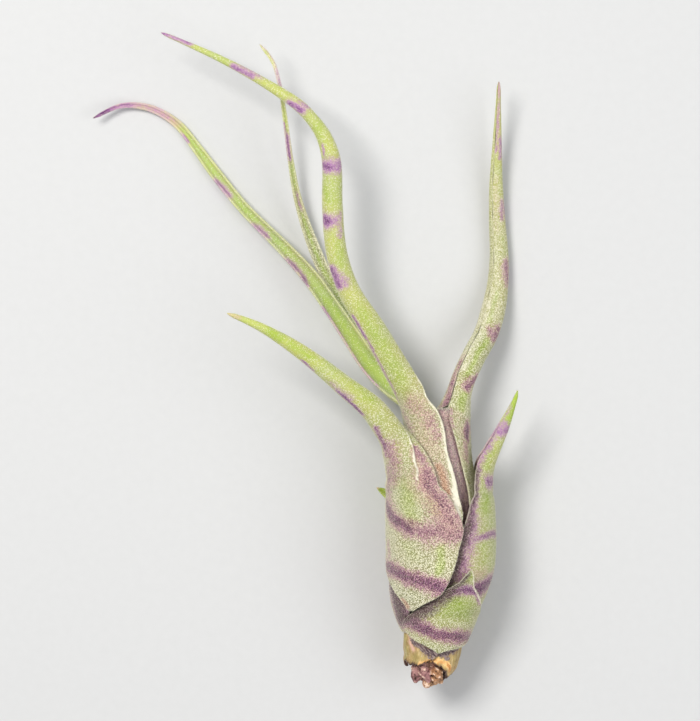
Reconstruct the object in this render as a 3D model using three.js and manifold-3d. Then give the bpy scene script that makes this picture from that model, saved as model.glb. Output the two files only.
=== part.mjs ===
// A medusas head air plant, picked and laid on its back.
// Sizes are millimetres. +Y runs from the root end to the leaf tips, +Z points up from the surface
// that the plant lies on, and the front of the plant faces +Z.
//
// Each leaf is one curved blade of varying roll. A row of a leaf is an arc round a centre: it starts
// at one edge of the leaf and ends at the other. Angles are degrees round the leaf's own line of
// growth: 0 points right, 90 up to the front, 180 left and 270 down to the back.
import * as THREE from 'three';
import Module from 'manifold-3d';
import { mergeVertices } from 'three/addons/utils/BufferGeometryUtils.js';

const wasm = await Module();
wasm.setup();

// Driving dimensions
const AXIS_HEIGHT = 15;
const LEAF_THICKNESS = 1.0;
const EDGE_SHARE = 0.72;
const TIP_SHARE = 0.62;
const DEGREE = Math.PI / 180;

// The line of the bulb: where its middle lies from side to side at each height.
const BULB_LINE = [
  [-92, 33.8], [-84, 34.9], [-76, 36.0], [-66, 36.7],
  [-54, 37.4], [-40, 37.2], [-26, 36.7], [-10, 36.2],
];

function bulbMiddle(height) {
  const last = BULB_LINE.length - 1;
  let i = 0;
  while (i < last - 1 && BULB_LINE[i + 1][0] < height) i += 1;
  const [y0, x0] = BULB_LINE[i];
  const [y1, x1] = BULB_LINE[i + 1];
  const t = THREE.MathUtils.clamp((height - y0) / (y1 - y0), 0, 1);
  return THREE.MathUtils.lerp(x0, x1, t);
}

// The three kinds of row. radii are the distances of the outer face from the centre at the first
// edge, at the middle and at the last edge.
function sheath(height, from, to, ...radii) {
  return { kind: 'sheath', centre: [bulbMiddle(height), height, AXIS_HEIGHT], arc: [from, to], radii };
}

function throat(x, y, z, from, to, ...radii) {
  return { kind: 'throat', centre: [x, y, z], arc: [from, to], radii };
}

function blade(x, y, z, from, to, radius) {
  return { kind: 'blade', centre: [x, y, z], arc: [from, to], radii: [radius, radius, radius] };
}

// The direction of growth at each row: straight up the bulb in the sheath, along the row centres in
// the blade, and turning from one to the other through the throat.
function growth(rows) {
  const upright = new THREE.Vector3(0, 1, 0);
  const blades = rows.findIndex((row) => row.kind === 'blade');
  const throats = rows.filter((row) => row.kind === 'throat').length;
  const along = (i) => {
    const before = rows[Math.max(i - 1, blades)];
    const after = rows[Math.min(i + 1, rows.length - 1)];
    return new THREE.Vector3(...after.centre).sub(new THREE.Vector3(...before.centre)).normalize();
  };
  return rows.map((row, i) => {
    if (row.kind === 'sheath') return upright.toArray();
    if (row.kind === 'blade') return along(i).toArray();
    const share = (i - (blades - throats) + 1) / (throats + 1);
    return upright.clone().lerp(along(blades), share).normalize().toArray();
  });
}

function catmullRom(a, b, c, d, t) {
  const bend = 2 * a - 5 * b + 4 * c - d;
  const twist = 3 * b - a - 3 * c + d;
  return 0.5 * (2 * b + (c - a) * t + bend * t * t + twist * t * t * t);
}

// The rows as one list of numbers each, with bladeSteps rows in each gap between blade rows.
function smoothRows(rows, bladeSteps) {
  const ways = growth(rows);
  const flat = rows.map((row, i) => [...row.centre, ...ways[i], ...row.arc, ...row.radii]);
  const out = [];
  for (let i = 0; i < flat.length - 1; i += 1) {
    const steps = rows[i + 1].kind === 'sheath' ? 1 : bladeSteps;
    const a = flat[Math.max(i - 1, 0)];
    const b = flat[i];
    const c = flat[i + 1];
    const d = flat[Math.min(i + 2, flat.length - 1)];
    for (let k = 0; k < steps; k += 1) {
      out.push(b.map((_, j) => catmullRom(a[j], b[j], c[j], d[j], k / steps)));
    }
  }
  out.push(flat[flat.length - 1]);
  return out;
}

// One point of a leaf: across runs from 0 at the first edge to 1 at the last, depth from the outer
// face inwards.
function leafPoint(row, across, depth) {
  const [x, y, z, wx, wy, wz, from, to, first, middle, last] = row;
  const way = new THREE.Vector3(wx, wy, wz).normalize();
  const up = new THREE.Vector3(0, 0, 1).addScaledVector(way, -way.z).normalize();
  const right = new THREE.Vector3().crossVectors(way, up);
  const side = 2 * across - 1;
  const radius = middle + side * (last - first) / 2 + side * side * ((first + last) / 2 - middle);
  const angle = THREE.MathUtils.lerp(from, to, across) * DEGREE;
  const reach = radius - depth * Math.min(1, TIP_SHARE * radius / depth);
  const point = new THREE.Vector3(x, y, z);
  point.addScaledVector(right, reach * Math.cos(angle)).addScaledVector(up, reach * Math.sin(angle));
  return point;
}

// A closed solid between an outer and an inner face, both split the same way.
function shellGeometry(outer, inner, rows, columns) {
  const at = (face, i, j) => face * rows * columns + i * columns + j;
  const index = [];
  const quad = (a, b, c, d) => index.push(a, b, c, a, c, d);
  for (let i = 0; i < rows - 1; i += 1) {
    for (let j = 0; j < columns - 1; j += 1) {
      quad(at(0, i, j), at(0, i + 1, j), at(0, i + 1, j + 1), at(0, i, j + 1));
      quad(at(1, i, j), at(1, i, j + 1), at(1, i + 1, j + 1), at(1, i + 1, j));
    }
    quad(at(0, i, 0), at(1, i, 0), at(1, i + 1, 0), at(0, i + 1, 0));
    const j = columns - 1;
    quad(at(1, i, j), at(0, i, j), at(0, i + 1, j), at(1, i + 1, j));
  }
  for (let j = 0; j < columns - 1; j += 1) {
    quad(at(0, 0, j), at(0, 0, j + 1), at(1, 0, j + 1), at(1, 0, j));
    const i = rows - 1;
    quad(at(0, i, j + 1), at(0, i, j), at(1, i, j), at(1, i, j + 1));
  }
  const geometry = new THREE.BufferGeometry();
  const points = [...outer, ...inner].flatMap((point) => point.toArray());
  geometry.setAttribute('position', new THREE.Float32BufferAttribute(points, 3));
  geometry.setIndex(index);
  geometry.computeVertexNormals();
  return geometry;
}

// A leaf from its rows. The outer face never goes below the surface that the plant lies on.
function leafGeometry(rows, { columns = 10, bladeSteps = 2, thickness = LEAF_THICKNESS } = {}) {
  const smooth = smoothRows(rows, bladeSteps);
  const outer = [];
  const inner = [];
  for (const row of smooth) {
    for (let j = 0; j <= columns; j += 1) {
      const across = j / columns;
      const side = 2 * across - 1;
      const depth = thickness * (1 - (1 - EDGE_SHARE) * side * side);
      const point = leafPoint(row, across, 0);
      point.z = Math.max(point.z, 0);
      outer.push(point);
      inner.push(leafPoint(row, across, depth));
    }
  }
  return shellGeometry(outer, inner, smooth.length, columns + 1);
}

// The leaves, each from its base to its tip.
const LEAF_SHORT_FRONT = [
  sheath(-80.6, 76, 92, 7.9, 7.9, 7.9),
  sheath(-79.5, 48, 98, 8.3, 8.3, 8.3),
  sheath(-78.2, 16, 106, 8.7, 8.7, 8.7),
  sheath(-76.5, -4, 132, 9.2, 9.2, 9.2),
  sheath(-74.3, -12, 150, 10.0, 10.0, 10.0),
  sheath(-72, -8, 152, 10.7, 10.9, 10.9),
  sheath(-70, 8, 137, 11.4, 11.6, 11.5),
  sheath(-68, 27, 120, 13.0, 12.6, 11.8),
  sheath(-66, 34, 107, 13.9, 13.5, 12.2),
  sheath(-64, 42, 96, 14.5, 14.3, 13.0),
  sheath(-62.2, 50, 83, 14.9, 14.9, 14.5),
  sheath(-60.6, 54, 73, 15.5, 15.6, 15.6),
  sheath(-59, 56, 68, 16.1, 16.3, 16.2),
  sheath(-57.2, 60, 63, 16.9, 16.9, 16.9),
];

const LEAF_SHORT_BACK = [
  sheath(-75, 152, 250, 8.8, 9.4, 9.0),
  sheath(-71, 143, 285, 9.9, 12.0, 11.3),
  sheath(-66, 133, 298, 12.0, 13.6, 13.4),
  sheath(-60, 150, 300, 12.9, 14.8, 14.8),
  sheath(-55, 168, 298, 13.5, 15.5, 15.4),
  sheath(-50, 187, 288, 13.9, 15.6, 15.4),
  sheath(-46, 200, 276, 15.3, 15.6, 15.4),
  throat(32.5, -42.5, 9.5, 190, 286, 9.6, 9.6, 9.6),
  throat(28.4, -40, 7.9, 174, 300, 5.2, 5.2, 5.2),
  blade(25.2, -38.4, 7.6, 150, 320, 2.6),
  blade(22.4, -36.8, 7.8, 140, 330, 1.3),
  blade(19.8, -35.3, 8.2, 130, 340, 0.5),
];

const LEAF_RIGHT = [
  sheath(-74, -52, 52, 8.5, 8.5, 8.5),
  sheath(-71, -66, 62, 8.9, 9.5, 8.9),
  sheath(-67, -75, 76, 10.5, 12.0, 9.9),
  sheath(-63, -80, 86, 12.0, 13.5, 11.0),
  sheath(-57.8, -80, 84, 13.2, 14.8, 12.6),
  sheath(-51, -80, 77, 13.7, 15.2, 13.2),
  sheath(-44.5, -76, 62, 13.8, 15.2, 13.9),
  sheath(-38.5, -68, 54, 13.8, 14.9, 14.2),
  throat(38.6, -35.6, 15.4, -62, 54, 12.7, 13.1, 13.1),
  throat(41.2, -32.8, 16.4, -64, 60, 10.6, 10.7, 10.7),
  throat(44.4, -30.4, 17.4, -74, 71, 7.7, 7.7, 7.7),
  throat(47.2, -28.4, 18.3, -96, 90, 5.1, 5.1, 5.1),
  blade(49.7, -26, 19, -122, 114, 3.3),
  blade(52, -22.4, 19.5, -140, 126, 2.4),
  blade(54.2, -18, 19.8, -140, 128, 1.9),
  blade(56.2, -13.6, 20, -140, 128, 1.2),
  blade(57.5, -10.4, 20.3, -130, 130, 0.75),
  blade(58.2, -8.4, 20.5, -130, 130, 0.5),
];

const LEAF_FRONT_LEFT = [
  sheath(-68.4, 123, 131, 12.9, 12.7, 12.6),
  sheath(-66.4, 108, 138, 14.1, 13.4, 13.2),
  sheath(-64, 91, 149, 14.9, 14.1, 13.9),
  sheath(-61.3, 84, 161, 15.3, 14.5, 14.4),
  sheath(-57.5, 79, 175, 15.6, 15.0, 15.0),
  sheath(-52.3, 74, 186, 15.5, 15.1, 15.1),
  sheath(-47, 67, 190, 15.3, 15.1, 15.1),
  sheath(-43.8, 68, 190, 15.3, 15.1, 15.1),
  sheath(-40, 75, 190, 15.1, 15.0, 15.0),
  sheath(-36.3, 83, 191, 14.8, 14.8, 14.8),
  throat(36, -33.4, 15.6, 88, 193, 13.9, 14, 14),
  throat(33.2, -30.4, 17.2, 77, 195, 11.2, 11, 11),
  throat(30.2, -28, 19.2, 62, 197, 9.2, 8.5, 8.5),
  throat(27.5, -25.8, 21.2, 44, 198, 7.4, 6.2, 6.2),
  throat(25.5, -23.6, 22.7, 20, 200, 5.6, 4.8, 4.8),
  blade(24.2, -21, 23.8, -16, 202, 4.1),
  blade(21.3, -16.8, 25.2, -38, 202, 3.7),
  blade(17.6, -12.4, 26, -42, 202, 3.35),
  blade(10.8, -7, 27, -42, 204, 2.8),
  blade(4.1, -1.5, 28, -42, 206, 2.35),
  blade(-2.9, 3.6, 29.3, -42, 208, 1.9),
  blade(-10.3, 8.1, 30.5, -42, 210, 1.3),
  blade(-15.8, 10.7, 31.3, -40, 210, 0.9),
  blade(-20.8, 12.6, 32, -40, 210, 0.5),
];

const LEAF_TALL_FRONT = [
  sheath(-70, 86, 180, 8.1, 8.1, 8.1),
  sheath(-66, 91, 185, 9.8, 9.5, 8.4),
  sheath(-61, 91, 195, 12.0, 11.7, 10.0),
  sheath(-55, 87, 198, 13.4, 12.9, 11.2),
  sheath(-49, 80, 198, 13.6, 13.4, 12.1),
  sheath(-44.3, 65, 198, 13.5, 13.5, 13.3),
  sheath(-39.5, 65, 198, 13.0, 13.0, 13.0),
  sheath(-34.5, 67, 198, 12.0, 12.0, 12.0),
  sheath(-29.3, 70, 198, 10.5, 10.4, 10.5),
  sheath(-24, 76, 200, 9.6, 9.6, 9.6),
  sheath(-18.5, 80, 196, 9.3, 9.3, 9.3),
  throat(35.4, -13.8, 15.6, 84, 190, 8.7, 8.7, 8.8),
  throat(31.6, -10, 17.8, 74, 184, 6.1, 6.1, 6.2),
  blade(27.8, -6.4, 19.8, 34, 192, 4.3),
  blade(24.6, -1.6, 20.6, 4, 206, 3.75),
  blade(18.5, 8.7, 21.3, -20, 220, 3.45),
  blade(12.1, 19, 22, -28, 222, 3.0),
  blade(8.7, 29.6, 22.8, -30, 220, 2.85),
  blade(7.6, 42, 23.6, -30, 215, 2.8),
  blade(7.4, 53.6, 24, -30, 212, 2.6),
  blade(5.4, 60.6, 24, -30, 210, 2.1),
  blade(2, 65.7, 23.8, -30, 210, 1.75),
  blade(-2.5, 70.1, 23.4, -30, 210, 1.65),
  blade(-12, 76.3, 22, -30, 210, 1.25),
  blade(-22.7, 82.2, 20, -30, 210, 0.95),
  blade(-33, 87, 18, -30, 210, 0.65),
  blade(-39.4, 89.8, 17, -30, 210, 0.45),
];

const LEAF_TALL_RIGHT = [
  sheath(-70, -95, 30, 7.0, 8.0, 7.6),
  sheath(-65, -100, 36, 8.8, 10.0, 9.4),
  sheath(-58, -105, 40, 10.8, 11.8, 11.0),
  sheath(-50, -108, 42, 11.4, 12.2, 11.6),
  sheath(-43, -108, 42, 11.2, 11.8, 11.4),
  sheath(-36.3, -105, 42, 10.5, 10.8, 10.6),
  sheath(-31, -102, 45, 9.7, 9.8, 9.7),
  sheath(-26, -97, 51, 9.2, 9.2, 9.2),
  sheath(-21, -90, 60, 9.1, 9.1, 9.1),
  sheath(-17.3, -82, 69, 9.0, 9.0, 9.0),
  throat(38.8, -14, 15.2, -90, 84, 6.6, 6.5, 6.5),
  throat(41.4, -11, 14.8, -122, 104, 4.3, 4.2, 4.2),
  blade(42.8, -8.4, 14.3, -150, 118, 3.3),
  blade(43.9, -4.6, 13.2, -165, 120, 3.2),
  blade(46.3, 0.8, 11.2, -160, 122, 3.2),
  blade(49.5, 7.2, 8, -150, 124, 3.1),
  blade(51.9, 13.6, 5.2, -140, 124, 2.95),
  blade(53.1, 21, 3.2, -135, 124, 2.75),
  blade(53.3, 29, 2.5, -130, 124, 2.5),
  blade(52.9, 38, 3, -130, 124, 2.1),
  blade(52.6, 49, 4.4, -130, 124, 1.7),
  blade(52.8, 60.8, 6.8, -130, 124, 1.2),
  blade(53.2, 70, 9.2, -130, 124, 0.75),
  blade(53.4, 76.8, 11, -130, 124, 0.5),
];

const LEAF_LONG_LEFT = [
  sheath(-68, 135, 232, 6.4, 6.3, 5.6),
  sheath(-61, 140, 245, 9.2, 8.9, 6.8),
  sheath(-53, 145, 250, 11.0, 10.5, 8.4),
  sheath(-45, 148, 250, 11.5, 10.7, 8.4),
  sheath(-37, 150, 250, 10.9, 9.9, 7.7),
  sheath(-30, 150, 248, 9.0, 8.4, 6.9),
  sheath(-23, 150, 246, 7.9, 7.6, 6.4),
  sheath(-17, 150, 246, 7.7, 7.3, 6.3),
  throat(32.5, -12.5, 13.6, 150, 254, 5.2, 5.2, 5.1),
  throat(28.6, -9.8, 12.2, 152, 285, 4.1, 4.1, 4.1),
  blade(24.4, -7, 11.2, 155, 315, 3.5),
  blade(20.3, -3.6, 10.4, 160, 345, 3.1),
  blade(16.8, 0.4, 9.8, 165, 360, 2.8),
  blade(12.8, 6.4, 9, 168, 368, 2.6),
  blade(7.6, 14.2, 7.8, 168, 370, 2.4),
  blade(1.5, 22.8, 6.5, 168, 370, 2.3),
  blade(-6.2, 31.3, 5, 168, 370, 1.95),
  blade(-16.9, 42, 3.2, 168, 370, 1.65),
  blade(-25, 51.9, 1.9, 168, 370, 1.65),
  blade(-30.6, 59.5, 1.4, 168, 370, 1.4),
  blade(-36, 66, 1.3, 168, 370, 1.2),
  blade(-43.4, 70.2, 1.7, 168, 370, 1.0),
  blade(-51.4, 70.7, 2.8, 168, 370, 0.7),
  blade(-58.9, 67.2, 4.4, 168, 370, 0.45),
];

const LEAF_THIN_BACK = [
  sheath(-64, 218, 290, 8.2, 7.5, 7.2),
  sheath(-56, 221, 298, 10.8, 9.5, 9.3),
  sheath(-47, 222, 300, 11.2, 9.9, 9.7),
  sheath(-38, 223, 300, 10.6, 9.2, 9.0),
  sheath(-30, 224, 296, 9.4, 8.2, 8.0),
  sheath(-23, 224, 286, 8.8, 7.8, 7.6),
  sheath(-17, 222, 272, 8.6, 7.8, 7.5),
  throat(33.8, -12.8, 11, 208, 278, 6.2, 6, 5.8),
  throat(28.8, -8.8, 8.2, 192, 320, 3.8, 3.8, 3.6),
  blade(24.8, -4.4, 5.9, 180, 350, 3.1),
  blade(20.8, 1.2, 4.4, 175, 360, 2.9),
  blade(15.6, 8.2, 3.6, 172, 366, 2.6),
  blade(10.4, 16, 3.3, 170, 370, 2.2),
  blade(5.6, 24, 3.6, 168, 372, 1.8),
  blade(1.5, 33.6, 4.5, 168, 372, 1.55),
  blade(-2.1, 44.8, 6, 168, 372, 1.1),
  blade(-4.2, 56.4, 8, 168, 372, 0.8),
  blade(-5.7, 68, 10, 168, 372, 0.65),
  blade(-7.2, 76.7, 11.5, 168, 372, 0.55),
  blade(-12.4, 86.8, 13, 168, 372, 0.5),
];

const LEAF_HEART = [
  sheath(-55, 20, 120, 9.4, 9.4, 9.4),
  sheath(-47, 12, 128, 10.2, 10.2, 10.2),
  sheath(-38, 10, 128, 9.4, 9.6, 9.6),
  sheath(-31, 12, 126, 8.3, 8.4, 8.4),
  sheath(-25, 16, 124, 7.8, 7.9, 7.9),
  sheath(-20, 22, 118, 7.6, 7.7, 7.7),
  sheath(-18, 34, 106, 7.5, 7.6, 7.6),
  sheath(-16.4, 52, 86, 7.3, 7.3, 7.3),
];

const OLD_SHEATH_LEFT = [
  sheath(-84.6, 118, 204, 6.6, 7.1, 6.7),
  sheath(-83, 106, 212, 7.2, 7.8, 7.2),
  sheath(-81, 98, 216, 7.3, 8.0, 7.4),
  sheath(-79, 108, 214, 7.1, 8.2, 7.5),
  sheath(-77, 124, 206, 7.1, 8.0, 7.2),
  sheath(-75.2, 134, 190, 7.2, 7.3, 7.2),
];

const OLD_SHEATH_RIGHT = [
  sheath(-85.2, -118, 84, 5.9, 6.3, 5.6),
  sheath(-83.4, -134, 96, 6.6, 7.1, 6.0),
  sheath(-81, -140, 112, 6.9, 7.5, 5.9),
  sheath(-78.5, -140, 120, 7.0, 7.5, 6.0),
  sheath(-76, -138, 122, 7.0, 7.2, 6.0),
  sheath(-73.5, -130, 118, 7.0, 7.0, 6.2),
];

// The woody end of the stem: a core with short root stubs grown out of it.
const STEM = { x: 34.8, low: -87.5, high: -64, width: 3.9, topWidth: 2.6 };
const ROOT_STUBS = [
  { at: [31.0, -85.6, 15.4], size: [1.9, 2.6, 2.2] },
  { at: [33.0, -85.4, 18.4], size: [1.3, 2.4, 1.5] },
  { at: [36.6, -86.6, 17.2], size: [2.2, 2.6, 2.2] },
  { at: [33.6, -88.6, 15.2], size: [1.7, 1.6, 2.0] },
  { at: [35.6, -86.4, 12.4], size: [2.4, 2.2, 2.0] },
  { at: [32.2, -86.2, 12.6], size: [1.7, 2.2, 1.8] },
  { at: [38.1, -84.6, 15.2], size: [1.4, 2.2, 1.8] },
];

function toManifold(geometry) {
  geometry.deleteAttribute('normal');
  geometry.deleteAttribute('uv');
  const merged = mergeVertices(geometry, 1e-4);
  return new wasm.Manifold(new wasm.Mesh({
    numProp: 3,
    vertProperties: merged.attributes.position.array,
    triVerts: new Uint32Array(merged.index.array),
  }));
}

function fromManifold(solid) {
  const made = solid.getMesh();
  const geometry = new THREE.BufferGeometry();
  geometry.setAttribute('position', new THREE.Float32BufferAttribute(made.vertProperties, 3));
  geometry.setIndex([...made.triVerts]);
  geometry.computeVertexNormals();
  return geometry;
}

function stemGeometry() {
  const length = STEM.high - STEM.low;
  const core = new THREE.CylinderGeometry(STEM.topWidth, STEM.width, length, 14, 3);
  core.translate(STEM.x, STEM.low + length / 2, AXIS_HEIGHT);
  let solid = toManifold(core);
  for (const stub of ROOT_STUBS) {
    const lump = new THREE.SphereGeometry(1, 10, 7);
    lump.scale(...stub.size);
    lump.translate(...stub.at);
    solid = solid.add(toManifold(lump));
  }
  return fromManifold(solid);
}

function piece(name, geometry, color, roughness = 0.75) {
  const material = new THREE.MeshStandardMaterial({ color, roughness, metalness: 0 });
  const mesh = new THREE.Mesh(geometry, material);
  mesh.name = name;
  return mesh;
}

const DRY = 0.85;

const plant = new THREE.Group();
plant.add(
  piece('stem_stub', stemGeometry(), '#a57a6b', DRY),
  piece('old_sheath_left', leafGeometry(OLD_SHEATH_LEFT, { columns: 8, thickness: 0.8 }), '#d2bb7c', DRY),
  piece('old_sheath_right', leafGeometry(OLD_SHEATH_RIGHT, { thickness: 0.8 }), '#b98a66', DRY),
  piece('leaf_short_front', leafGeometry(LEAF_SHORT_FRONT), '#a8b26a'),
  piece('leaf_short_back', leafGeometry(LEAF_SHORT_BACK, { thickness: 1.1 }), '#8d7a7c'),
  piece('leaf_right', leafGeometry(LEAF_RIGHT), '#b3c46c'),
  piece('leaf_front_left', leafGeometry(LEAF_FRONT_LEFT), '#c3cc8a'),
  piece('leaf_tall_front', leafGeometry(LEAF_TALL_FRONT), '#bfc884'),
  piece('leaf_tall_right', leafGeometry(LEAF_TALL_RIGHT), '#b4bd85'),
  piece('leaf_long_left', leafGeometry(LEAF_LONG_LEFT), '#a9c076'),
  piece('leaf_thin_back', leafGeometry(LEAF_THIN_BACK, { columns: 8 }), '#9cb378'),
  piece('leaf_heart', leafGeometry(LEAF_HEART, { columns: 8 }), '#8f5f86'),
);

export default plant;
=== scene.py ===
"""The looks of a medusas head air plant that lies on its back.

Each leaf is a thin curved surface over its row list, with rounded margins, a silvery coat of fine
scales, purple bands and short hairs. Lengths in the lists are millimetres.
"""
import math

import bpy
import numpy as np
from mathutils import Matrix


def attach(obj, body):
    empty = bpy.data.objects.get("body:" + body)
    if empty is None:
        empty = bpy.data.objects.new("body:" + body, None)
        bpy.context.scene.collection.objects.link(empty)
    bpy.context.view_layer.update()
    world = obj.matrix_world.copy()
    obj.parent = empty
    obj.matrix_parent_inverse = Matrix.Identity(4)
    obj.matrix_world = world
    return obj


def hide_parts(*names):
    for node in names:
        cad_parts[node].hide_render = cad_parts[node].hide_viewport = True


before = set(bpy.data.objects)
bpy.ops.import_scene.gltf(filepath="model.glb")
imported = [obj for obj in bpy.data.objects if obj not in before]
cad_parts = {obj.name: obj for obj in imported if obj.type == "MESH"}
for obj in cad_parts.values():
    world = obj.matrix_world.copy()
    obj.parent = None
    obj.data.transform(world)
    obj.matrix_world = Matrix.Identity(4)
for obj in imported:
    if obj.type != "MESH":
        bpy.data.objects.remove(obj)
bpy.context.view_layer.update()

MM = 0.001
AXIS_HEIGHT = 15.0

# The line of the bulb: where its middle lies from side to side at each height.
BULB_HEIGHTS = [-92, -84, -76, -66, -54, -40, -26, -10]
BULB_MIDDLES = [33.8, 34.9, 36.0, 36.7, 37.4, 37.2, 36.7, 36.2]


# Rows of a leaf

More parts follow.
